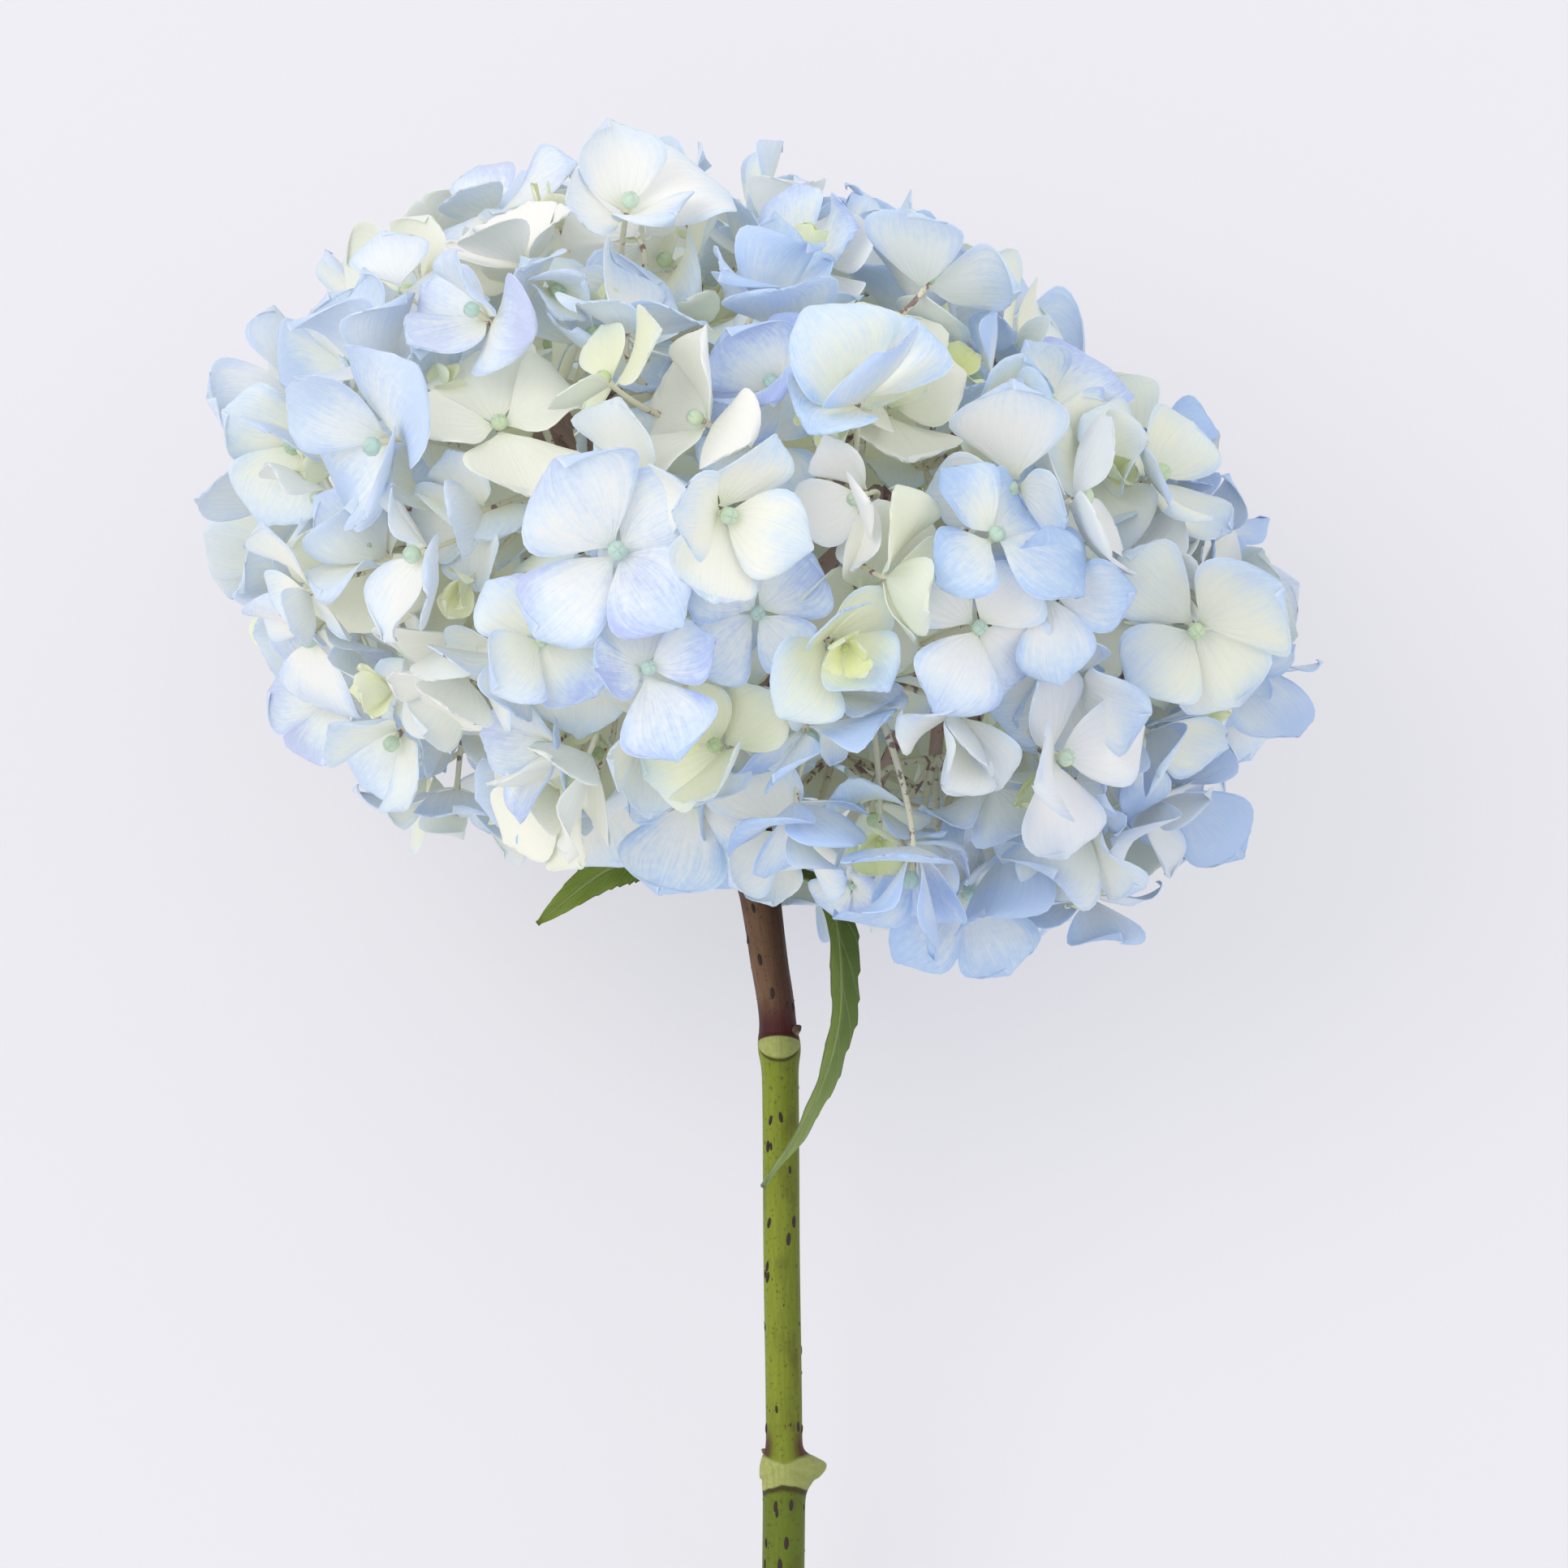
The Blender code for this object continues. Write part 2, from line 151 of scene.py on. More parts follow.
def curve_point(points, share):
    """A point on the smooth curve through the points (Catmull-Rom), share from 0 to 1."""
    spans = len(points) - 1
    span = min(int(share * spans), spans - 1)
    t = share * spans - span
    before, start = points[max(span - 1, 0)], points[span]
    end, after = points[span + 1], points[min(span + 2, spans)]
    return 0.5 * (
        2.0 * start
        + (end - before) * t
        + (2.0 * before - 5.0 * start + 4.0 * end - after) * t**2
        + (3.0 * start - before - 3.0 * end + after) * t**3
    )


def curve_points(points, count):
    return [curve_point(points, index / (count - 1)) for index in range(count)]


def step_between(pairs, value):
    """The value read off a polyline of (position, value) pairs."""
    for (low, first), (high, last) in zip(pairs, pairs[1:]):
        if value <= high:
            return first + (last - first) * (value - low) / (high - low)
    return pairs[-1][1]


def distance_to_line(point, line):
    """The shortest distance from a point to a polyline."""
    shortest = math.inf
    for start, end in zip(line, line[1:]):
        along = end - start
        share = max(0.0, min(1.0, (point - start).dot(along) / along.length_squared))
        shortest = min(shortest, (point - start - along * share).length)
    return shortest


# Node graphs ----------


def wire_first(operation):
    return lambda wire, *others: wire.graph.math(operation, wire, *others)


def wire_last(operation):
    return lambda wire, other: wire.graph.math(operation, other, wire)


class Wire:
    """A node's output that can stand in sums: each operator adds the Math node it stands for."""

    def __init__(self, graph, socket):
        self.graph = graph
        self.socket = socket

    __add__, __radd__ = wire_first("ADD"), wire_last("ADD")
    __sub__, __rsub__ = wire_first("SUBTRACT"), wire_last("SUBTRACT")
    __mul__, __rmul__ = wire_first("MULTIPLY"), wire_last("MULTIPLY")
    __pow__, __abs__ = wire_first("POWER"), wire_first("ABSOLUTE")
    sine, cosine = wire_first("SINE"), wire_first("COSINE")
    at_least, at_most = wire_first("MAXIMUM"), wire_first("MINIMUM")

    def clamp(self):
        return self.at_least(0.0).at_most(1.0)

    def step(self, low, high):
        """Rises smoothly from 0 at low to 1 at high, or falls where high is the smaller."""
        return self.graph.add(
            "ShaderNodeMapRange",
            {"interpolation_type": "SMOOTHSTEP"},
            {"Value": self, "From Min": low, "From Max": high},
        )


class Graph:
    """A node tree, built by one method."""

    def __init__(self, tree):
        self.tree = tree

    def add(self, kind, settings=None, values=None, output=0):
        node = self.tree.nodes.new(kind)
        for key, value in (settings or {}).items():
            setattr(node, key, value)
        for key, value in (values or {}).items():
            self.plug(value, node.inputs[key])
        return Wire(self, node.outputs[output])

    def plug(self, value, socket):
        if isinstance(value, Wire):
            self.tree.links.new(value.socket, socket)
        else:
            socket.default_value = value

    def math(self, operation, *values):
        return self.add("ShaderNodeMath", {"operation": operation}, dict(enumerate(values)))

    def split(self, vector):
        first = self.add("ShaderNodeSeparateXYZ", None, {"Vector": vector})
        return [Wire(self, socket) for socket in first.socket.node.outputs]

    def join(self, x, y, z):
        return self.add("ShaderNodeCombineXYZ", None, {"X": x, "Y": y, "Z": z})

    def noise(self, vector, scale, detail=2.0):
        values = {"Vector": vector, "Scale": scale, "Detail": detail}
        return self.add("ShaderNodeTexNoise", None, values)


class Finish(Graph):
    """A material with one Principled shader, whose plain numbers sit on its own sockets."""

    def __init__(self, name, **constants):
        self.material = bpy.data.materials.new(name)
        self.material.use_nodes = True
        super().__init__(self.material.node_tree)
        self.shader = self.tree.nodes["Principled BSDF"]
        for key, value in constants.items():
            self.shader.inputs[key.replace("_", " ")].default_value = value

    def attribute(self, name, output="Vector"):
        return self.add("ShaderNodeAttribute", {"attribute_name": name}, None, output)

    def place(self):
        return self.add("ShaderNodeTexCoord", None, None, "Object")

    def mix(self, share, first, second):
        first, second = [
            (*colour, 1.0) if isinstance(colour, tuple) and len(colour) == 3 else colour
            for colour in (first, second)
        ]
        return self.add("ShaderNodeMix", {"data_type": "RGBA"}, {0: share, 6: first, 7: second}, 2)

    def over(self, colour, *coats):
        """A colour under one or more coats of (share, colour)."""
        for share, coat in coats:
            colour = self.mix(share, colour, coat)
        return colour

    def speckle(self, scale, detail=2.0):
        return self.noise(self.place(), scale, detail)

    def paint(self, colour, height=None, depth=0.0002, strength=0.5, glow=None):
        """Links what changes over the surface: its colour, its relief and its glow."""
        self.plug(colour, self.shader.inputs["Base Color"])
        if glow is not None:
            self.plug(glow, self.shader.inputs["Emission Color"])
        if height is not None:
            values = {"Height": height, "Distance": depth, "Strength": strength}
            self.plug(self.add("ShaderNodeBump", None, values), self.shader.inputs["Normal"])
        return self.material


def set_out(name, data):
    """A new object in the scene, at the origin."""
    thing = bpy.data.objects.new(name, data)
    bpy.context.scene.collection.objects.link(thing)
    return thing


class Growth(Graph):
    """A Geometry Nodes tree with named inputs, run on a mesh and turned into a plain one."""

    kinds = {
        "collection": "NodeSocketCollection",
        "int": "NodeSocketInt",
        "material": "NodeSocketMaterial",
    }

    def __init__(self, name, **inputs):
        super().__init__(bpy.data.node_groups.new(name, "GeometryNodeTree"))
        face = self.tree.interface
        face.new_socket("Geometry", in_out="INPUT", socket_type="NodeSocketGeometry")
        for label, kind in inputs.items():
            face.new_socket(label, in_out="INPUT", socket_type=self.kinds[kind])
        face.new_socket("Geometry", in_out="OUTPUT", socket_type="NodeSocketGeometry")
        self.entry = self.tree.nodes.new("NodeGroupInput")

    def given(self, label):
        return Wire(self, self.entry.outputs[label])

    def named(self, name, kind):
        return self.add("GeometryNodeInputNamedAttribute", {"data_type": kind}, {"Name": name})

    def finish(self, geometry):
        whole = self.add("GeometryNodeRealizeInstances", None, {"Geometry": geometry})
        values = {"Geometry": whole, "Material": self.given("finish")}
        last = self.add("GeometryNodeSetMaterial", None, values)
        self.plug(last, self.tree.nodes.new("NodeGroupOutput").inputs[0])

    def run(self, name, base, **inputs):
        """A plain object from a base mesh: the modifier is read once and removed."""
        thing = set_out(name, base)
        modifier = thing.modifiers.new(name, "NODES")
        modifier.node_group = self.tree
        for item in self.tree.interface.items_tree:
            if item.name in inputs:
                modifier[item.identifier] = inputs[item.name]
        depsgraph = bpy.context.evaluated_depsgraph_get()
        evaluated = thing.evaluated_get(depsgraph)
        mesh = bpy.data.meshes.new_from_object(
            evaluated, preserve_all_data_layers=True, depsgraph=depsgraph
        )
        thing.modifiers.remove(modifier)
        thing.data = mesh
        mesh.name = name
        return thing


def scatter_growth():
    """Sets one shape of a collection on each anchor point, turned and sized by its attributes."""
    growth = Growth("shapes on anchors", shapes="collection", finish="material")
    chosen = growth.given("shapes")
    values = {"Collection": chosen, "Separate Children": True, "Reset Children": True}
    shapes = growth.add("GeometryNodeCollectionInfo", None, values)
    angles = {"Euler": growth.named("turn", "FLOAT_VECTOR")}
    values = {
        "Points": growth.given("Geometry"),
        "Instance": shapes,
        "Pick Instance": True,
        "Instance Index": growth.named("variant", "INT"),
        "Rotation": growth.add("FunctionNodeEulerToRotation", None, angles),
        "Scale": growth.named("reach", "FLOAT"),
    }
    placed = growth.add("GeometryNodeInstanceOnPoints", None, values)
    growth.finish(placed)
    return growth


def stalk_growth():
    """A round stalk along each chain of edges, as thick as its points say."""
    growth = Growth("stalks along chains", sides="int", finish="material")
    chains = growth.add("GeometryNodeMeshToCurve", None, {"Mesh": growth.given("Geometry")})
    values = {"Resolution": growth.given("sides"), "Radius": 1.0}
    values = {
        "Curve": chains,
        "Profile Curve": growth.add("GeometryNodeCurvePrimitiveCircle", None, values),
        "Scale": growth.named("thickness", "FLOAT"),
        "Fill Caps": True,
    }
    tube = growth.add("GeometryNodeCurveToMesh", None, values)
    growth.finish(tube)
    return growth


# Meshes ----------


def plain_mesh(name, points, faces, edges=(), **attributes):
    """A mesh with its point attributes: numbers, whole numbers or triples."""
    mesh = bpy.data.meshes.new(name)
    mesh.from_pydata([tuple(point) for point in points], edges, faces)
    for label, values in attributes.items():
        values = np.asarray(values)
        if values.ndim == 2:
            kind, field = "FLOAT_VECTOR", "vector"
        else:
            kind, field = "INT" if values.dtype.kind == "i" else "FLOAT", "value"
        mesh.attributes.new(label, kind, "POINT").data.foreach_set(field, values.ravel())
    return mesh


def ring_faces(first, rings, sides):
    """Quads between each ring of points and the next, counted from the first point."""
    return [
        (low + side, low + beside, low + sides + beside, low + sides + side)
        for low in range(first, first + (rings - 1) * sides, sides)
        for side, beside in zip(range(sides), [*range(1, sides), 0])
    ]


def spiral_direction(cosine, around):
    """A direction at an angle from the dome's top, turned round its axis."""
    sine = math.sqrt(max(0.0, 1.0 - cosine**2))
    return Vector((sine * math.cos(around), cosine, sine * math.sin(around)))


def outwards(angle):
    """The direction out of the laid stem at an angle round it."""
    return LAYING_TURN @ Vector((math.cos(angle), 0.0, math.sin(angle)))


def smooth(thing, angle=50.0):
    thing.data.shade_smooth()
    thing.data.set_sharp_from_angle(angle=math.radians(angle))
    return thing


def seat(thing, slot, *nodes):
    """Hands a finished piece to the frame."""
    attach(thing, "root")
    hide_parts(*nodes)
    return thing


# Places of the florets ----------


def dome_point(direction, share):
    """The point of the dome's surface, or a share of it, in a direction from its centre."""
    lean = Quaternion(UP, -HEAD_LEAN)
    flat = lean @ direction
    angle = math.degrees(math.atan2(flat.y, flat.x))
    size = share
    for dent_angle, depth, spread in HEAD_DENTS:
        away = (angle - dent_angle + 180.0) % 360.0 - 180.0
        size *= 1.0 - depth * math.exp(-((away / spread) ** 2)) * (1.0 - flat.z**2)
    return HEAD_CENTRE + lean @ (Vector(a * b for a, b in zip(direction, HEAD_RADII)) * size)


def dome_normal(direction):
    lean = Quaternion(UP, -HEAD_LEAN)
    return (lean @ Vector(a / b for a, b in zip(direction, HEAD_RADII))).normalized()


def pressed(point):
    """Florets under the head's lowest stretch are squeezed up by the table."""
    if point.z >= PRESS_FROM:
        return point
    height = max(TOUCH_HEIGHT, PRESS_FROM - (PRESS_FROM - point.z) * PRESS_SHARE)
    return Vector((point.x, point.y, height))


def spiral_cosines(count):
    """Cosines of the florets' angles from the dome's top, spaced by the dome's true area."""
    wide, tall = HEAD_RADII.x, HEAD_RADII.y
    shares = [(step + 0.5) / SPIRAL_STEPS for step in range(SPIRAL_STEPS)]
    cosines = [1.0 - (1.0 - SPIRAL_END) * share for share in shares]
    areas = [math.sqrt((wide * c) ** 2 + tall**2 * (1.0 - c**2)) for c in cosines]
    total = sum(areas)
    chosen = []
    covered = 0.0
    for cosine, area in zip(cosines, areas):
        covered += area / total * count
        if covered > len(chosen) + 0.5:
            chosen.append(cosine)
    return chosen


def floret_places(layer):
    """Where each floret of one layer sits, how it is turned and how far its sepals reach."""
    draw = random.Random(layer.seed)
    keep_clear = (
        (STEM_LINE, CLEAR_OF_STEM),
        (curve_points(LEFT_LEAF, 12), CLEAR_OF_LEAF),
        (curve_points(RIGHT_LEAF, 12), CLEAR_OF_LEAF),
    )
    places = []
    for number, cosine in enumerate(spiral_cosines(layer.florets)):
        around = layer.first_turn + number * SPIRAL_TURN + draw.uniform(-0.10, 0.10)
        direction = spiral_direction(cosine, around)
        centre = dome_point(direction, layer.share * draw.uniform(0.95, 1.05))
        stray = Vector([draw.uniform(-layer.wander, layer.wander) for _ in range(3)])
        normal = dome_normal(direction)
        facing = (normal + stray).normalized()
        size = layer.reach * draw.uniform(0.86, 1.14)
        spin = draw.uniform(0.0, math.tau)
        centre = centre + normal * (layer.stagger * (number % 3 - 1.4))
        room = min(distance_to_line(centre, line) - gap for line, gap in keep_clear)
        in_gap = math.hypot(centre.x - HEAD_GAP.x, centre.y - HEAD_GAP.y) < GAP_REACH
        if room < min(SMALLEST_REACH, size) or (in_gap and centre.z > 0.0):
            continue
        size = min(size, room)
        laid = LAYING @ centre
        squeeze = max(0.0, (PRESS_FROM - laid.z) / PRESS_DEPTH)
        facing = (LAYING_TURN @ facing).lerp(-UP, squeeze).normalized()
        turn = facing.to_track_quat("Z", "Y") @ Quaternion(UP, spin)
        spot = pressed(laid)
        if facing.z > FACING_DOWN:
            spot.z = max(spot.z, size * 0.95 * math.sqrt(1.0 - facing.z**2))
        places.append((spot, turn, size, number))
    return places


# Sepals ----------

# The kinds of floret: how many grown shapes, and the rows and columns of a sepal.
KINDS = {"open": (20, (14, 12)), "shaded": (16, (10, 10)), "young": (5, (8, 8))}
SEPALS = 4
SEPAL_SKIN = 0.022
CLAW = 0.07
# A sepal's foot stands this far out from the throat, and the upper pair this much higher.
THROAT = 0.05
PAIR_STEP = 0.03
OPENNESS = (0.0, 8.0, 15.0, 22.0, 30.0, 38.0, 47.0)
DRAWS = 4
NET_LONG = 5
NET_WIDE = 4
# How a floret looks for room: tries, then its lean in degrees, its steps aside and inwards at
# each, and how much a floret in nearly the same place counts.
TRIES = 13
LEAN_STEP = 1.9
ASIDE_STEP = 0.3 * MM
SINK_STEP = 0.9 * MM
CROWDED = 8


def sepal_surface(along, across, shape):
    """A sepal's middle surface at a reach of 1: a narrow claw, a broad cupped blade, a soft end."""
    base, point, tip = shape["base"], shape["point"], shape["tip"]
    widest = (base / (base + tip * point)) ** (1.0 / point)
    fullest = widest**base * (1.0 - widest**point) ** tip
    blade = np.maximum(along - CLAW, 0.0) / (1.0 - CLAW)
    outline = blade**base * np.maximum(1.0 - blade**point, 0.0) ** tip / fullest
    half = shape["spread"] * outline + 0.035 * (1.0 - along) ** 2 + 0.006
    half = half * (1.0 + shape["teeth"] * np.sin(along * 41.0 + shape["phase"]) * along**2)
    x = along * (1.0 - 0.10 * across**2 * along)
    y = across * half + shape["sway"] * along**2
    z = shape["cup"] * along**2 + shape["trough"] * (across * half) ** 2
    z = z - shape["curl"] * np.maximum(along - 0.55, 0.0) ** 2
    z = z + shape["fold"] * (np.sqrt((across * half) ** 2 + 0.004) - 0.063) * along
    wave = np.sin(math.tau * shape["waves"] * along + shape["phase"] + 1.3 * np.sign(across))
    z = z + shape["wave"] * np.abs(across) ** 1.7 * along * wave
    twist = shape["twist"] * along
    y, z = y * np.cos(twist) - z * np.sin(twist), y * np.sin(twist) + z * np.cos(twist)
    return np.stack([x, y, z], axis=-1)


def sepal_shell(shape, grid):
    """Both skins of a sepal, which meet in a thin shared rim, with the faces between them."""
    along = 0.5 - 0.5 * np.cos(math.pi * np.linspace(0.0, 1.0, grid[0] + 1) ** 0.8)
    across = np.sin(np.linspace(-1.0, 1.0, grid[1] + 1) * math.pi / 2.0)
    grid_along, grid_across = np.meshgrid(along, across, indexing="ij")
    middle = sepal_surface(grid_along, grid_across, shape)
    step_along = np.gradient(middle, axis=0)
    step_across = np.gradient(middle, axis=1)
    normal = np.cross(step_along, step_across)
    normal /= np.linalg.norm(normal, axis=-1, keepdims=True) + 1e-9
    inside = np.zeros(grid_along.shape, bool)
    inside[1:-1, 1:-1] = True
    half = SEPAL_SKIN / 2.0 * inside[..., None]
    rows, columns = grid_along.shape
    upper = np.arange(rows * columns).reshape(rows, columns)
    lower = upper.copy()
    lower[inside] = rows * columns + np.arange(inside.sum())
    points = [(middle + normal * half).reshape(-1, 3), (middle - normal * half)[inside]]
    side = np.where(inside, 1.0, 0.5)
    top_blade = np.stack([grid_across, grid_along, side], axis=-1).reshape(-1, 3)
    low_blade = np.stack([grid_across, grid_along, np.zeros_like(side)], axis=-1)[inside]
    faces = []
    for row in range(rows - 1):
        for column in range(columns - 1):
            cell = [(row, column), (row + 1, column), (row + 1, column + 1), (row, column + 1)]
            faces.append([int(upper[spot]) for spot in cell])
            faces.append([int(lower[spot]) for spot in reversed(cell)])
    return np.concatenate(points), np.concatenate([top_blade, low_blade]), faces


def sepal_shape(draw, young):
    """One sepal's own shape, drawn at random within what the plant grows."""
    return {
        "spread": draw.uniform(0.42, 0.64) * (0.85 if young else 1.0),
        "base": draw.uniform(0.58, 0.84),
        "point": draw.uniform(1.9, 3.1),
        "tip": draw.choice((0.44, 0.5, 0.56, 0.62, 0.70)),
        "teeth": draw.choice((0.0, 0.0, 0.012, 0.025)),
        "phase": draw.uniform(0.0, math.tau),
        "sway": draw.uniform(-0.10, 0.10),
        "cup": draw.uniform(-0.16, 0.20) + (0.25 if young else 0.0),
        "trough": draw.uniform(-0.15, 0.55),
        "curl": draw.uniform(-0.6, 1.1),
        "fold": draw.uniform(0.0, 0.42),
        "waves": draw.uniform(0.6, 1.5),
        "wave": draw.uniform(0.03, 0.11),
        "twist": draw.uniform(-0.35, 0.35),
    }


def floret_sepals(draw, young, grid):
    """Four sepals round a throat, one facing pair standing above the other."""
    points, blades, faces = [], [], []
    openness = draw.uniform(32.0, 58.0) if young else draw.choice(OPENNESS)
    pair = draw.uniform(9.0, 28.0)
    count = 0
    for number in range(SEPALS):
        shell, blade, cells = sepal_shell(sepal_shape(draw, young), grid)
        length = draw.uniform(0.78, 1.06)
        upper = number % 2
        raised = math.radians(openness + pair * upper + draw.uniform(-10.0, 10.0))
        turn = math.tau * (number + draw.uniform(-0.11, 0.11)) / SEPALS
        shell = shell * length
        shell[:, 0] += THROAT
        pose = Matrix.Rotation(turn, 3, "Z") @ Matrix.Rotation(-raised, 3, "Y")
        shell = shell @ np.array(pose).T
        shell[:, 2] += PAIR_STEP * upper
        points.append(shell)
        blades.append(blade)
        faces.extend([[index + count for index in cell] for cell in cells])
        count += len(shell)
    points, blades = np.concatenate(points), np.concatenate(blades)
    points[:, 2] -= 0.45 * max(0.0, np.percentile(points[:, 2], 90) - 0.2)
    return points, blades, faces


def self_crossings(net):
    """How often a floret's own sepals cross, beyond their claws."""
    points, faces = net
    each = len(faces) // SEPALS
    trees = [
        BVHTree.FromPolygons(points.tolist(), faces[first + NET_WIDE : first + each])
        for first in range(0, len(faces), each)
    ]
    return sum(len(tree.overlap(other)) for n, tree in enumerate(trees) for other in trees[:n])


def grow_florets(draw):
    """The florets of every kind: each is the one of a few draws whose sepals cross least."""
    meshes, nets, spans = [], [], {}
    for kind, (count, grid) in KINDS.items():
        spans[kind] = (len(meshes), count)
        for number in range(count):
            drawn = [floret_sepals(draw, kind == "young", grid) for _ in range(DRAWS)]
            woven = [coarse_net(points, grid) for points, _, _ in drawn]
            best = min(range(DRAWS), key=lambda index: self_crossings(woven[index]))
            points, blades, faces = drawn[best]
            meshes.append(plain_mesh(f"{kind}_{number:02d}", points, faces, blade=blades))
            nets.append(woven[best])
    return meshes, nets, spans


def coarse_net(points, grid):
    """A light net over a floret's upper skins, enough to tell whether two florets cross."""
    points = points.reshape(SEPALS, -1, 3)
    rows = [1 + round((grid[0] - 1) * step / NET_LONG) for step in range(NET_LONG + 1)]
    columns = [round(grid[1] * step / NET_WIDE) for step in range(NET_WIDE + 1)]
    picked = [row * (grid[1] + 1) + column for row in rows for column in columns]
    wide = len(columns)
    faces = []
    for sepal in range(SEPALS):
        for row in range(NET_LONG):
            for column in range(NET_WIDE):
                here = sepal * len(picked) + row * wide + column
                faces.append((here, here + 1, here + wide + 1, here + wide))
    return points[:, picked].reshape(-1, 3), faces


def settle(places, nets, first, span, standing):
    """Each floret tries a few shapes, poses and depths and keeps the one that crosses least.

    As sepals grow they push past each other, so a head has few that cross.
    """
    settled, variants = [], []
    for spot, turn, size, number in places:
        best = None
        for attempt in range(TRIES):
            variant = first + (7 * number + 3 * attempt) % span
            swing = (number + 2 * attempt) * SPIRAL_TURN
            leaning = math.radians(LEAN_STEP * attempt)
            lean = Quaternion((math.cos(swing), math.sin(swing), 0.0), leaning)
            aside = Vector((math.sin(swing), -math.cos(swing), 0.0)) * (ASIDE_STEP * attempt)
            place = spot + turn @ (aside - UP * (SINK_STEP * (attempt % 4)))
            place.z = max(place.z, TOUCH_HEIGHT)
            twisted = turn @ lean @ Quaternion(UP, attempt * SPIRAL_TURN)
            net, faces = nets[variant]
            laid = (net * size) @ np.array(twisted.to_matrix()).T + np.array(place)
            laid[:, 2] = np.maximum(laid[:, 2], 0.0)
            tree = BVHTree.FromPolygons(laid.tolist(), faces)
            crossings = sum(
                len(tree.overlap(other)) + (CROWDED if (centre - place).length < 0.5 * size else 0)
                for centre, reach, other in standing
                if (centre - place).length < reach + size
            )
            if best is None or crossings < best[0]:
                best = (crossings, place, twisted, variant, tree)
            if not crossings:
                break
        _, place, twisted, variant, tree = best
        standing.append((place, size, tree))
        settled.append((place, twisted, size, number))
        variants.append(variant)
    return settled, variants


BUD_RINGS = 6
BUD_SIDES = 12


def eye_bud_mesh():
    """A small round bud, parted by four grooves and a little flat on top."""
    points, grooves = [(0.0, 0.0, -0.03)], [0.0]
    for ring in range(1, BUD_RINGS):
        polar = math.pi * ring / BUD_RINGS
        height = 0.060 - 0.088 * math.cos(polar)
        for side in range(BUD_SIDES):
            angle = math.tau * side / BUD_SIDES
            parted = abs(math.sin(2.0 * angle))
            out = (0.080 + 0.013 * parted) * math.sin(polar)
            points.append((out * math.cos(angle), out * math.sin(angle), height))
            grooves.append((1.0 - parted) * max(0.0, -math.cos(polar)) ** 0.5)
    points.append((0.0, 0.0, 0.140))
    grooves.append(1.0)
    last = len(points) - 1
    top = last - BUD_SIDES
    faces = ring_faces(1, BUD_RINGS - 1, BUD_SIDES)
    for side in range(BUD_SIDES):
        beside = (side + 1) % BUD_SIDES
        faces += [(0, 1 + beside, 1 + side), (top + side, top + beside, last)]
    return plain_mesh("bud", points, faces, groove=grooves)


def shape_collection(name, meshes):
    group = bpy.data.collections.new(name)
    for index, mesh in enumerate(meshes):
        group.objects.link(bpy.data.objects.new(f"{name}_{index:02d}", mesh))
    return group


def drop_collection(group):
    for thing in list(group.objects):
        bpy.data.objects.remove(thing)
    bpy.data.collections.remove(group)


def anchors(name, marks):
    """Points that carry the turn, reach, shape and tone of what grows on each."""
    places, tones, variants = zip(*marks)
    spots, turns, sizes, _ = zip(*places)
    return plain_mesh(
        name,
        spots,
        [],
        turn=[tuple(turn.to_euler()) for turn in turns],
        reach=sizes,
        variant=np.array(variants, dtype=np.int32),
        tone=tones,
    )


def flatten_on_table(thing):
    """What reaches the table bends along it instead of passing through."""
    mesh = thing.data
    points = np.empty(len(mesh.vertices) * 3)
    mesh.vertices.foreach_get("co", points)
    heights = points[2::3]
    low = heights < SOFT_HEIGHT
    heights[low] = SOFT_HEIGHT * np.exp((heights[low] - SOFT_HEIGHT) / SOFT_HEIGHT)
    mesh.vertices.foreach_set("co", points)
    mesh.update()


# Finishes ----------


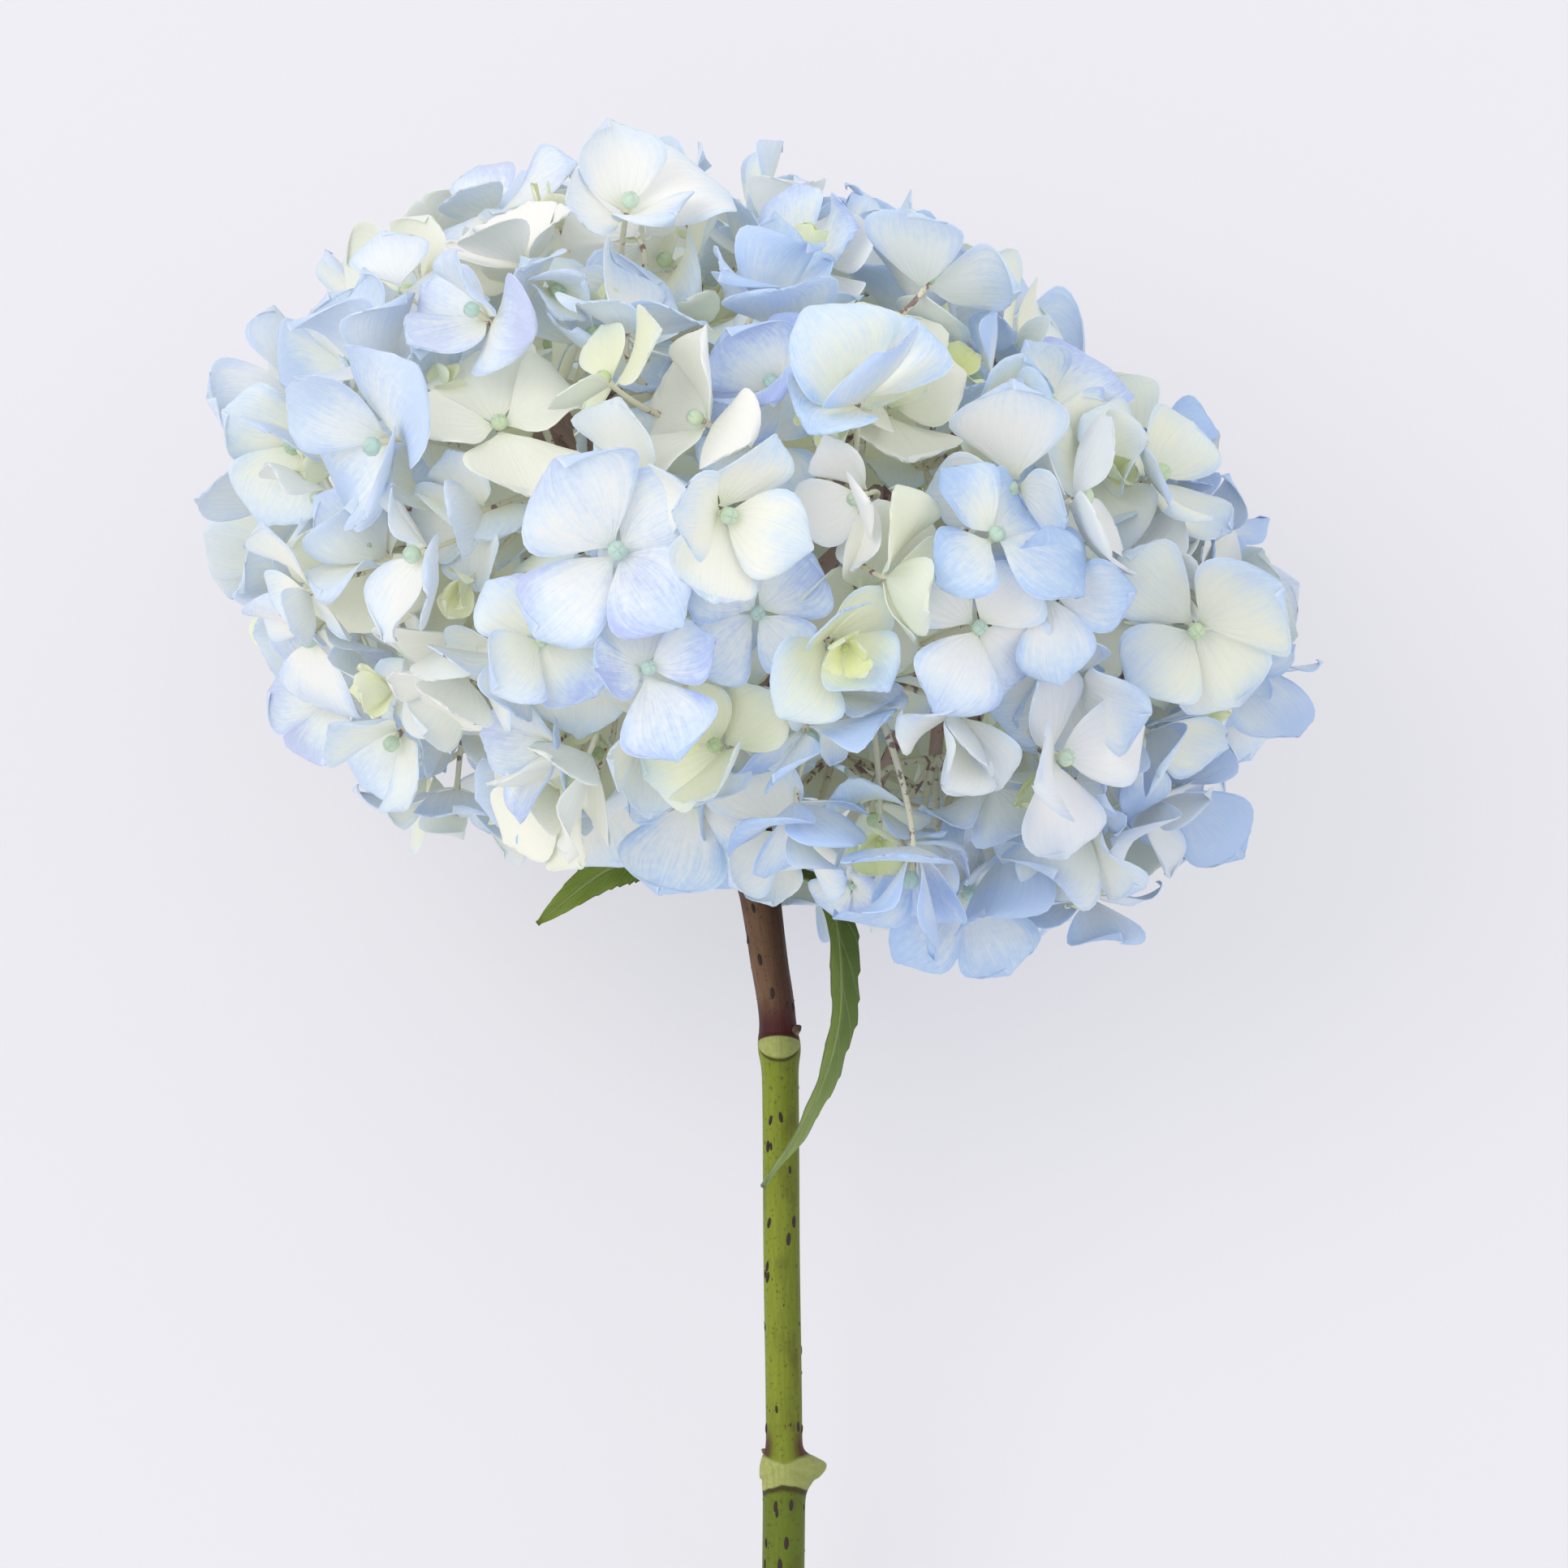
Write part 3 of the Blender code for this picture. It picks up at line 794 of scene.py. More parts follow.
def sepal_finish():
    """Cream at the heart, blue towards the rim, paler and greyer behind, with fanned veins.

    The faint glow stands for the light that sepals this thin pass on from behind. Each rim carries a
    thin painted highlight; the lower right of the head has a little painted slaty shade, the upper
    left a little painted light.
    """
    finish = Finish("sepal", Emission_Strength=0.074, Roughness=0.6, Specular_IOR_Level=0.32)
    across, along, side = finish.split(finish.attribute("blade"))
    blueness, youth, chance = finish.split(finish.attribute("tone"))
    fan = finish.join(across * 6.5 + chance * 31.0, along * 0.8, chance * 17.0)
    streaks = finish.noise(fan, 3.2, 2.0)
    grain = finish.speckle(900.0, 1.0) - 0.5
    patch = finish.speckle(75.0, 1.0)
    edge = (abs(across) ** 2.2 * along.step(0.08, 0.55)).at_least(along**1.7)
    strength = edge * 0.9 + (streaks - 0.5) * 0.6 + (patch - 0.5) * 1.0 + blueness * 0.75 - 0.44
    rim = (strength + grain * 0.3).step(0.05, 1.00) * blueness.step(0.02, 0.45)
    deep = edge * 0.45 + blueness * 1.0 + (streaks - 0.5) * 0.5 + (patch - 0.5) * 1.4
    deep = (deep + grain * 0.4).step(0.85, 1.65)
    heart = finish.mix(youth, (0.895, 0.887, 0.870), (0.74, 0.80, 0.32))
    heart = finish.mix(along.step(0.30, 0.02) * 0.45, heart, (0.80, 0.85, 0.60))
    strong = finish.mix(chance.step(0.50, 0.75), (0.410, 0.570, 0.860), (0.420, 0.485, 0.830))
    blue = finish.mix(deep, (0.585, 0.740, 0.920), strong)
    front = finish.mix(rim, heart, blue)
    behind = finish.mix(youth, (0.850, 0.875, 0.880), (0.70, 0.77, 0.38))
    behind = finish.mix((rim * 0.8 + 0.25 * blueness).clamp(), behind, (0.490, 0.640, 0.900))
    ribs = (across * 26.0 + (streaks - 0.5) * 5.0).sine() * along.step(0.9, 0.2)
    right, up, _ = finish.split(finish.place())
    # Painted shade and painted light: sepals towards the head's lower right are darkened to a slaty
    # blue and those towards its upper left lightened, in colour and glow alike.
    sideways = right - up * 0.35
    painted_slaty_shade = sideways.step(-0.012, 0.036) * (patch * 0.52 - 0.06)
    light = sideways.step(-0.030, -0.085) * 0.25
    colour = finish.over(
        finish.mix(side.step(0.25, 0.75), behind, front),
        # Painted highlight: a thin pale line along each sepal's rim.
        (abs(side - 0.5).step(0.30, 0.0) * 0.45, (0.85, 0.90, 0.97)),
        (ribs.step(0.72, 1.0) * 0.07, (0.55, 0.63, 0.76)),
        (painted_slaty_shade, (0.31, 0.39, 0.60)),
        (light, (0.93, 0.93, 0.87)),
    )
    glow = finish.over(
        finish.mix(0.75, (0.93, 0.95, 0.90), colour),
        ((1.0 - rim) * 0.55, (0.76, 0.77, 0.54)),
        (painted_slaty_shade * 1.4, (0.20, 0.24, 0.34)),
        (light * 1.2, (1.0, 1.0, 0.92)),
    )
    relief = ribs * 0.2 + streaks
    return finish.paint(colour, height=relief, depth=0.00016, strength=0.55, glow=glow)


def bud_finish():
    """Pale blue green, or lime in a young floret, with painted shade in its grooves."""
    finish = Finish("eye bud", Roughness=0.5)
    blueness, youth, _ = finish.split(finish.attribute("tone"))
    groove = finish.attribute("groove", "Fac")
    mottle = finish.speckle(1100.0)
    colour = finish.over(
        finish.mix(blueness, (0.68, 0.80, 0.60), (0.54, 0.73, 0.67)),
        (youth, (0.62, 0.74, 0.22)),
        (mottle.step(0.52, 0.75) * 0.35, (0.42, 0.56, 0.54)),
        # Painted shade: the grooves are darkened.
        (groove.step(0.45, 0.95) * 0.4, (0.32, 0.47, 0.40)),
    )
    return finish.paint(colour, height=mottle - groove, depth=0.0003)


def stalk_finish():
    """Cream green fine stalks flecked with plum, on browner branches."""
    finish = Finish("flower stalk", Roughness=0.6)
    thickness = finish.attribute("thickness", "Fac")
    flecks = finish.speckle(560.0)
    colour = finish.over(
        finish.mix(finish.speckle(90.0), (0.84, 0.83, 0.62), (0.78, 0.71, 0.56)),
        (thickness.step(0.0006, 0.0012), (0.50, 0.35, 0.32)),
        (flecks.step(0.56, 0.64) * 0.8, (0.20, 0.07, 0.10)),
    )
    return finish.paint(colour, height=flecks)


# Head ----------

SEPAL_REACH = 17.5 * MM
BATCH = 60
MAINS, FORKS = 9, 40
# Radii from thick to thin.
MAIN_RADII = (2.1 * MM, 1.5 * MM)
FORK_RADII = (1.5 * MM, 1.1 * MM)
STALK_RADII = (0.62 * MM, 0.40 * MM)
SMALL_STALK_RADII = (0.62 * MM, 0.30 * MM)
STALK_FOOT = 0.25 * MM
LONGEST_BOW = 9.0 * MM
SMALL_FLORET = 9.0 * MM
# A layer of florets: what they are and how many, how far their sepals reach, the share of the
# dome's size that they sit at, how far they wander and stagger, and the spiral's first turn.
Layer = namedtuple(
    "Layer", "name kind blue youth florets seed reach share wander stagger first_turn"
)
# The inner and deep layers' raised youth makes their florets yellow green: partly the florets' own
# colour, partly painted shade deep in the head.
LAYERS = (
    Layer("outer", "open", 1.0, 0.0, 112, 23, SEPAL_REACH * 0.88, 0.958, 0.82, 2.4 * MM, 0.0),
    Layer("between", "open", 1.0, 0.0, 106, 61, SEPAL_REACH * 0.86, 0.92, 0.95, 2.0 * MM, 1.2),
    Layer("inner", "shaded", 0.8, 0.12, 72, 83, SEPAL_REACH * 0.84, 0.82, 0.80, 0.0, 2.9),
    Layer("deep", "shaded", 0.4, 0.40, 52, 29, SEPAL_REACH * 0.86, 0.68, 0.70, 0.0, 4.1),
    Layer("young", "young", 0.15, 0.65, 50, 7, 6.5 * MM, 0.93, 0.60, 0.0, 0.8),
)


def tones_for(count, layer):
    """Blueness, youth and a free number for each floret: some are nearly all cream, and the deep
    layers' raised youth is partly painted shade.
    """
    draw = random.Random(layer.seed + 8)
    tones = []
    for _ in range(count):
        blueness = min(1.0, max(0.0, draw.gauss(0.64, 0.27)))
        if draw.random() < 0.15:
            blueness *= 0.3
        blueness *= layer.blue
        fresh = 0.6 * draw.random() ** 1.5 * (1.0 - 0.7 * blueness)
        tones.append((blueness, layer.youth + (1.0 - layer.youth) * fresh, draw.random()))
    return tones


def whole_tree(thing):
    """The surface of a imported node, for the florets to keep clear of."""
    mesh = thing.data
    points = [point.co for point in mesh.vertices]
    return BVHTree.FromPolygons(points, [tuple(face.vertices) for face in mesh.polygons])


def seat_florets(scatter, name, florets, shapes, finish, angle=50.0):
    """One piece of florets or of their buds, from (place, tone, shape) for each."""
    piece = scatter.run(name, anchors(name, florets), shapes=shapes, finish=finish)
    flatten_on_table(piece)
    seat(smooth(piece, angle), "sepals", "flower_head")


def make_head():
    """Layer by layer from outside in, in pieces of at most BATCH florets."""
    meshes, nets, spans = grow_florets(random.Random(404))
    shapes = shape_collection("floret", meshes)
    buds = shape_collection("bud", [eye_bud_mesh()])
    names = ("stem", "leaf_left", "leaf_right")
    middle = LAYING.to_translation()
    standing = [(middle, 1.0, whole_tree(frame["nodes"][name])) for name in names]
    scatter, sepals = scatter_growth(), sepal_finish()
    everyone = []
    for layer in LAYERS:
        places, variants = settle(floret_places(layer), nets, *spans[layer.kind], standing)
        florets = list(zip(places, tones_for(len(places), layer), variants))
        everyone += [(place, tone, 0) for place, tone, _ in florets]
        for number, start in enumerate(range(0, len(florets), BATCH), 1):
            name = f"sepals_{layer.name}_{number}"
            seat_florets(scatter, name, florets[start : start + BATCH], shapes, sepals)
    seat_florets(scatter, "eye_buds", everyone, buds, bud_finish(), angle=80.0)
    drop_collection(shapes)
    drop_collection(buds)
    make_stalks([place for place, _, _ in everyone])


def bowed(start, handle, end, thick, thin, count=7, foot=0.0):
    """A bowed chain of (point, thickness) pairs, which swells by foot at its very end."""
    chain = []
    for index in range(count):
        t = index / (count - 1)
        spot = start * (1 - t) ** 2 + handle * 2 * t * (1 - t) + end * t**2
        chain.append((spot, thick + (thin - thick) * t + foot * max(0.0, t - 0.85) / 0.15))
    return chain


def branch(start, end, leave, thick, thin):
    """A chain that leaves start in a given direction."""
    return bowed(start, start + leave * (end - start).length * 0.5, end, thick, thin)


def dome_spots(count, first_turn, spread, share):
    """Points spread in a spiral over a dome that is a share of the head's size."""
    cosines = [1.0 - spread * (number + 0.5) / count for number in range(count)]
    return [
        LAYING @ dome_point(spiral_direction(cosine, number * SPIRAL_TURN + first_turn), share)
        for number, cosine in enumerate(cosines)
    ]


def make_stalks(places):
    """Main branches from the stem's top, forks, and a fine stalk to the back of each floret."""
    hub = LAYING @ (STEM_LINE[-1] - ALONG * MM)
    up = LAYING_TURN @ Vector((-0.1, 1.0, 0.0)).normalized()
    mains = dome_spots(MAINS, first_turn=0.0, spread=1.35, share=0.36)
    forks = dome_spots(FORKS, first_turn=0.6, spread=1.85, share=0.62)
    forks = [pressed(spot) for spot in forks]
    chains = [branch(hub, main, up, *MAIN_RADII) for main in mains]
    for fork in forks:
        root = min(mains, key=lambda spot: (spot - fork).length)
        chains.append(branch(root, fork, (root - hub).normalized(), *FORK_RADII))
    for spot, turn, size, _ in places:
        end = spot - turn @ UP * (0.3 * MM)
        root = min(forks, key=lambda fork: (fork - end).length)
        back = end - turn @ UP * min(0.45 * (end - root).length, LONGEST_BOW)
        radii = STALK_RADII if size > SMALL_FLORET else SMALL_STALK_RADII
        chains.append(bowed(root, back, end, *radii, count=8, foot=STALK_FOOT))
    points, sizes, edges = [], [], []
    for chain in chains:
        steps = range(len(points), len(points) + len(chain) - 1)
        edges += [(number, number + 1) for number in steps]
        points += [spot for spot, _ in chain]
        sizes += [size for _, size in chain]
    mesh = plain_mesh("flower_stalks", points, [], edges, thickness=sizes)
    piece = stalk_growth().run("flower_stalks", mesh, sides=8, finish=stalk_finish())
    flatten_on_table(piece)
    seat(smooth(piece, 60.0), "stem", "flower_head")


# Stem ----------

STEM_AROUND = 48
# Rings are closer together NEAR_JOINT.
STEM_STEP = 0.8
JOINT_STEP = 0.3
NEAR_JOINT = 5.0
HALVINGS = 24
STEM_LOW = STEM_LINE[0].y / MM
STEM_HIGH = STEM_LINE[-1].y / MM
SHELF_JOINT = -69.0
SCAR_TOP = 2.1
SCAR_DEPTH = 3.9
LENTICELS = 190
# The long ones on the side that faces up: height along the stem and angle round it.
BOLD_LENTICELS = (
    (-16.2, 134.0), (-28.7, 131.0), (-28.5, 45.0), (-31.3, 67.0), (-35.8, 140.0), (-37.6, 139.0),
    (-75.0, 113.0), (-74.8, 70.0), (-81.0, 82.0), (-84.6, 99.0), (14.4, 118.0), (8.9, 96.0),
)
# The side buds: their joint, the angle round it and their share of the full size.
BUDS = ((0.0, 30.0, 0.75), (SHELF_JOINT, 182.0, 0.5), (-150.0, 95.0, 0.9), (-150.0, 268.0, 0.8))
BUD_ABOVE_JOINT = 2.2
BUD_SUNK = 0.9 * MM
BUD_LENGTH = 3.2 * MM
BUD_RADIUS = 1.45 * MM


def stem_finish():
    """Green below the upper joint and brown above, with pale scars, plum rims at the joints and
    painted shade down its right side.
    """
    finish = Finish("stem", Roughness=0.5, Specular_IOR_Level=0.2)
    around, up, _ = finish.split(finish.add("ShaderNodeUVMap", {"uv_map": "skin"}))
    height = up * (STEM_HIGH - STEM_LOW) + STEM_LOW
    turn = (around - 0.5) * math.tau
    front, side = abs(turn.cosine()), abs(turn.sine())
    right = turn.sine() * -1.0
    fibre = finish.noise(finish.join(around * 46.0, height * 0.16, 0.0), 1.0, 3.0)
    clouds = finish.noise(finish.join(around * 5.0, height * 0.11, 3.0), 1.0, 3.0)
    fine = finish.noise(finish.join(around * 30.0, height * 1.3, 7.0), 1.0, 3.0)
    # Painted shade: the stem's right side is darker, as if lit from the left; it darkens the green,
    # the brown and the scars, and brings more of the brown blotches to that side.
    shade = right.step(-0.70, 0.85)

    blotch = (fine.step(0.56, 0.70) + clouds.step(0.50, 0.62) * shade * 0.6).clamp()
    green = finish.over(
        finish.mix(fibre, (0.165, 0.215, 0.012), (0.300, 0.350, 0.040)),
        (shade * 0.85, finish.mix(fibre, (0.085, 0.105, 0.008), (0.150, 0.180, 0.016))),
        (clouds.step(0.52, 0.78) * 0.45, (0.080, 0.110, 0.008)),
        (height.step(-70.5, -72.5) * 0.6, (0.075, 0.120, 0.012)),
        (blotch * 0.55, (0.080, 0.052, 0.016)),
    )
    brown = finish.over(
        finish.mix(fibre, (0.115, 0.052, 0.026), (0.250, 0.145, 0.080)),
        (shade * 0.9, finish.mix(fibre, (0.040, 0.014, 0.010), (0.080, 0.034, 0.020))),
        (clouds.step(0.48, 0.76) * 0.6, (0.055, 0.020, 0.014)),
        (fine.step(0.58, 0.68) * 0.5, (0.045, 0.012, 0.010)),
    )
    colour = finish.mix(height.step(0.6, 1.8), green, brown)

    pale = finish.mix(fine, (0.26, 0.31, 0.065), (0.54, 0.55, 0.20))
    pale = finish.mix(shade * 0.45, pale, (0.13, 0.14, 0.05))
    dark = (0.045, 0.024, 0.012)
    plum = (0.062, 0.010, 0.012)
    relief = fibre + fine * 0.5
    for joint, _, scar_angle in JOINTS:
        rise = height - joint
        facing = side if scar_angle else front
        bottom = facing**0.6 * SCAR_DEPTH - (SCAR_TOP - rise)
        top = SCAR_TOP - (1.0 - facing) * 1.5 - rise
        shield = bottom.step(0.0, 0.3) * top.step(0.0, 0.3) * facing.step(0.10, 0.25)
        rim = bottom.step(-0.75, -0.2) * bottom.step(0.1, -0.2) * facing.step(0.2, 0.5)
        line = rise.step(-0.9, -0.3) * rise.step(0.5, 0.1)
        if joint == SHELF_JOINT:
            wavy = (clouds - 0.5) * 1.6
            base = rise + wavy + side**2.0 * 0.8
            shield = base.step(-3.0, -2.6) * (rise + wavy * 0.5 - side * 1.3).step(1.2, 0.5)
            rim = base.step(-3.9, -3.2) * base.step(-2.5, -2.9)
            line = rise * 0.0
        blush = rise.step(8.5, 3.4) * rise.step(-0.2, 1.2) * (1.0 - shield)
        blush = blush * (1.0 if joint == 0.0 else side.step(0.35, 0.9))
        rays = fibre.step(0.45, 0.65) * 0.45
        colour = finish.over(
            colour,
            ((blush * 0.92).clamp(), plum),
            ((line * 0.55).clamp(), pale),
            (shield.clamp(), finish.mix(rays, pale, (0.27, 0.30, 0.10))),
            ((rim * 0.85).clamp(), dark),
        )
        relief = relief + shield * 2.0 - rim * 2.5 - rays * shield
    colour = finish.mix(up.step(0.012, 0.0) * 0.6, colour, (0.30, 0.26, 0.14))
    return finish.paint(colour, height=relief, depth=0.00025, strength=0.5)


def lenticel_finish():
    """Nearly black, a little plum."""
    finish = Finish("lenticel", Roughness=0.55, Specular_IOR_Level=0.3)
    mottle = finish.speckle(1500.0)
    return finish.paint(finish.mix(mottle, (0.012, 0.008, 0.010), (0.055, 0.028, 0.024)))


def stem_skin(height, angle):
    """Distance of the skin from the middle line, with the joints' swellings, scars and ridges."""
    radius = step_between(STEM_RADII, height)
    for joint, swell, scar_angle in JOINTS:
        rise = height - joint
        facing = abs(math.cos(angle - math.radians(scar_angle) - math.pi / 2.0))
        ring = math.exp(-((rise / 2.6) ** 2))
        if joint == SHELF_JOINT:
            shelf = math.exp(-(((rise - 0.6) / (1.5 if rise > 0.6 else 2.9)) ** 2))
            radius += 0.55 * ring + 3.0 * shelf * max(0.0, math.cos(angle)) ** 5
        else:
            radius += ring * (swell * 0.75 + 0.45 * facing**6)
        lower_edge = SCAR_DEPTH * facing**0.6 - (SCAR_TOP - rise)
        if rise < SCAR_TOP and lower_edge > 0.0 and facing > 0.3:
            radius += 0.22
        radius -= 0.15 * math.exp(-((lower_edge + 0.3) ** 2) / 0.12) * (facing > 0.3)
    radius += 0.04 * math.sin(6.0 * angle + 0.01 * height)
    return radius + 0.03 * math.sin(11.0 * angle + 1.0)


def stem_point(height, angle):
    """A point of the stem's skin in the laid frame; the cut end slants."""
    low, high = 0.0, 1.0
    for _ in range(HALVINGS):
        middle = (low + high) / 2.0
        if curve_point(STEM_LINE, middle).y / MM < height:
            low = middle
        else:
            high = middle
    radius = stem_skin(height, angle) * MM
    out = math.sin(angle) * radius
    slant = CUT_SLANT * out * max(0.0, 1.0 - (height - STEM_LOW) / 6.0)
    return LAYING @ (curve_point(STEM_LINE, low) + Vector((math.cos(angle) * radius, slant, out)))


def make_stem():
    """The skin in rings from the cut end to inside the head, closer together at the joints."""
    heights = []
    height = STEM_LOW
    while height < STEM_HIGH:
        heights.append(height)
        near = min(abs(height - joint) for joint, _, _ in JOINTS)
        height += JOINT_STEP if near < NEAR_JOINT else STEM_STEP
    heights.append(STEM_HIGH)
    points, corners = [], []
    for height in heights:
        for side in range(STEM_AROUND):
            points.append(stem_point(height, math.tau * side / STEM_AROUND - math.pi / 2.0))
    faces = ring_faces(0, len(heights), STEM_AROUND)
    shares = [(height - STEM_LOW) / (STEM_HIGH - STEM_LOW) for height in heights]
    for low, high in zip(shares, shares[1:]):
        for side in range(STEM_AROUND):
            left, right = side / STEM_AROUND, (side + 1) / STEM_AROUND
            corners += [(left, low), (right, low), (right, high), (left, high)]
    last = (len(heights) - 1) * STEM_AROUND
    faces.append(tuple(reversed(range(STEM_AROUND))))
    faces.append(tuple(range(last, last + STEM_AROUND)))
    corners.extend([(0.5, 0.0)] * STEM_AROUND + [(0.5, 1.0)] * STEM_AROUND)
    mesh = plain_mesh("stem_skin", points, faces)
    mesh.uv_layers.new(name="skin").data.foreach_set("uv", np.array(corners).ravel())
    mesh.materials.append(stem_finish())
    seat(smooth(set_out("stem_skin", mesh), 45.0), "stem", "stem")


def lens_mesh():
    """A small long wart, widest in its middle."""
    shape = bmesh.new()
    bmesh.ops.create_icosphere(shape, subdivisions=2, radius=1.0)
    for point in shape.verts:
        point.co = Vector((point.co.x * 0.36, point.co.y, point.co.z * 0.22))
    mesh = bpy.data.meshes.new("lens")
    shape.to_mesh(mesh)
    shape.free()
    return mesh


def make_lenticels():
    """Dark warts strewn along the stem: some long, many tiny, most of them near the joints."""
    draw = random.Random(58)
    spots = []
    for height, angle in BOLD_LENTICELS:
        spots.append((height, math.radians(angle), draw.uniform(0.9, 1.1)))
    while len(spots) < LENTICELS:
        height = draw.uniform(STEM_LOW + 3.0, STEM_HIGH - 4.0)
        gap = min(abs(height - joint - 1.0) for joint, _, _ in JOINTS)
        if gap < 4.0 or draw.random() > 0.35 + 0.65 * math.exp(-gap / 16.0):
            continue
        angle = draw.uniform(0.0, math.tau)
        size = draw.uniform(0.55, 0.95) if draw.random() < 0.42 else draw.uniform(0.16, 0.34)
        spots.append((height, angle, size))
    marks = []
    for height, angle, size in spots:
        out = outwards(angle)
        turn = Matrix((STEM_UP.cross(out), STEM_UP, out)).transposed().to_quaternion()
        turn = turn @ Quaternion(UP, draw.uniform(-0.25, 0.25))
        place = (stem_point(height, angle), turn, size * MM, 0)
        marks.append((place, (0.0, 0.0, 0.0), 0))
    shapes = shape_collection("lens", [lens_mesh()])
    base = anchors("lenticels", marks)
    piece = scatter_growth().run("lenticels", base, shapes=shapes, finish=lenticel_finish())
    drop_collection(shapes)
    seat(smooth(piece, 80.0), "stem", "stem")


def side_bud_finish():
    finish = Finish("side bud", Roughness=0.5)
    mottle = finish.speckle(700.0, 3.0)
    colour = finish.mix(mottle.step(0.35, 0.65), (0.060, 0.022, 0.014), (0.20, 0.13, 0.06))
    return finish.paint(colour, height=mottle, depth=0.0003)


def make_buds():
    """Resting side buds over the scars: blunt, scaly and leaning up the stem."""
    points, faces = [], []
    rings, sides = 9, 14
    for joint, turn, share in BUDS:
        angle = math.radians(turn)
        out = outwards(angle)
        root = stem_point(joint + BUD_ABOVE_JOINT, angle) - out * BUD_SUNK
        lean = (out + STEM_UP * 0.7).normalized().to_track_quat("Z", "Y")
        first = len(points)
        for ring in range(rings):
            rise = ring / rings
            width = math.cos(rise * math.pi / 2.0) ** 0.6 * (1.0 - 0.12 * ((rise * 3.0) % 1.0))
            for side in range(sides):
                around = math.tau * side / sides
                flat = Vector((math.cos(around), 0.75 * math.sin(around), 0.0))
                lift = UP * (rise * BUD_LENGTH * share)
                points.append(root + lean @ (flat * BUD_RADIUS * share * width + lift))
        points.append(root + lean @ (UP * (BUD_LENGTH * share)))
        top = len(points) - 1
        faces += ring_faces(first, rings, sides)
        faces.append(tuple(reversed(range(first, first + sides))))
        for side in range(sides):
            faces.append((top - sides + side, top - sides + (side + 1) % sides, top))
    mesh = plain_mesh("side_buds", points, faces)
    mesh.materials.append(side_bud_finish())
    seat(smooth(set_out("side_buds", mesh), 60.0), "stem", "stem")


def turn_outwards(thing):
    """Turns every face of a closed piece outwards."""
    shape = bmesh.new()
    shape.from_mesh(thing.data)
    bmesh.ops.recalc_face_normals(shape, faces=shape.faces)
    shape.to_mesh(thing.data)
    shape.free()


# Leaves ----------

LEAF_ROWS = 90
LEAF_COLUMNS = 12
LEAF_SKIN = 0.45 * MM
LEAF_TEETH = 17.0
LEAF_FOLD = math.radians(24.0)


def leaf_width(share, taper):
    """Half width along the leaf: a short stalk, a full middle and a drawn-out tip."""
    stalk = 0.16 * math.exp(-((share / 0.10) ** 2))
    blade = math.sin(math.pi * min(share, 1.0) ** 0.8) ** 0.75 * (1.0 - taper * share)
    return stalk + blade


def leaf_finish(name, shaded_half, end):
    """Green with a pale midrib; one half has painted shade, and the end is painted lighter, as where
    light falls on it.
    """
    finish = Finish(name, Roughness=0.5, Specular_IOR_Level=0.3)
    across, along, side = finish.split(finish.attribute("blade"))
    mottle, fine = finish.speckle(260.0, 4.0), finish.speckle(1400.0)
    veins = (along * 62.0 - abs(across) * 9.0).sine().step(0.80, 1.0) * (1.0 - abs(across) * 0.6)
    rib = abs(across).step(0.16, 0.03)
    lively = finish.mix(mottle, (0.105, 0.180, 0.016), (0.230, 0.310, 0.050))
    # Painted shade: one half of the blade is darker, by the share given.
    shaded_green = finish.mix(mottle, (0.060, 0.105, 0.022), (0.115, 0.170, 0.042))
    front = finish.mix(across.step(0.10, -0.35) * shaded_half, lively, shaded_green)
    # Painted light: the blade turns lighter towards its end.
    front = finish.mix(along.step(0.45, 0.95) * 0.8, front, end)
    behind = finish.mix(mottle, (0.20, 0.28, 0.12), (0.31, 0.40, 0.19))
    colour = finish.over(
        finish.mix(side.step(0.4, 0.6), behind, front),
        ((veins * 0.30 + rib * 0.55).clamp(), (0.34, 0.41, 0.18)),
        (abs(across).step(0.90, 1.0) * 0.6, (0.07, 0.075, 0.035)),
        (along.step(0.975, 1.0) * 0.5, (0.05, 0.04, 0.02)),
    )
    relief = mottle * 0.6 + fine * 0.3 - veins - rib * 1.5
    return finish.paint(colour, height=relief, depth=0.0003, strength=0.6)


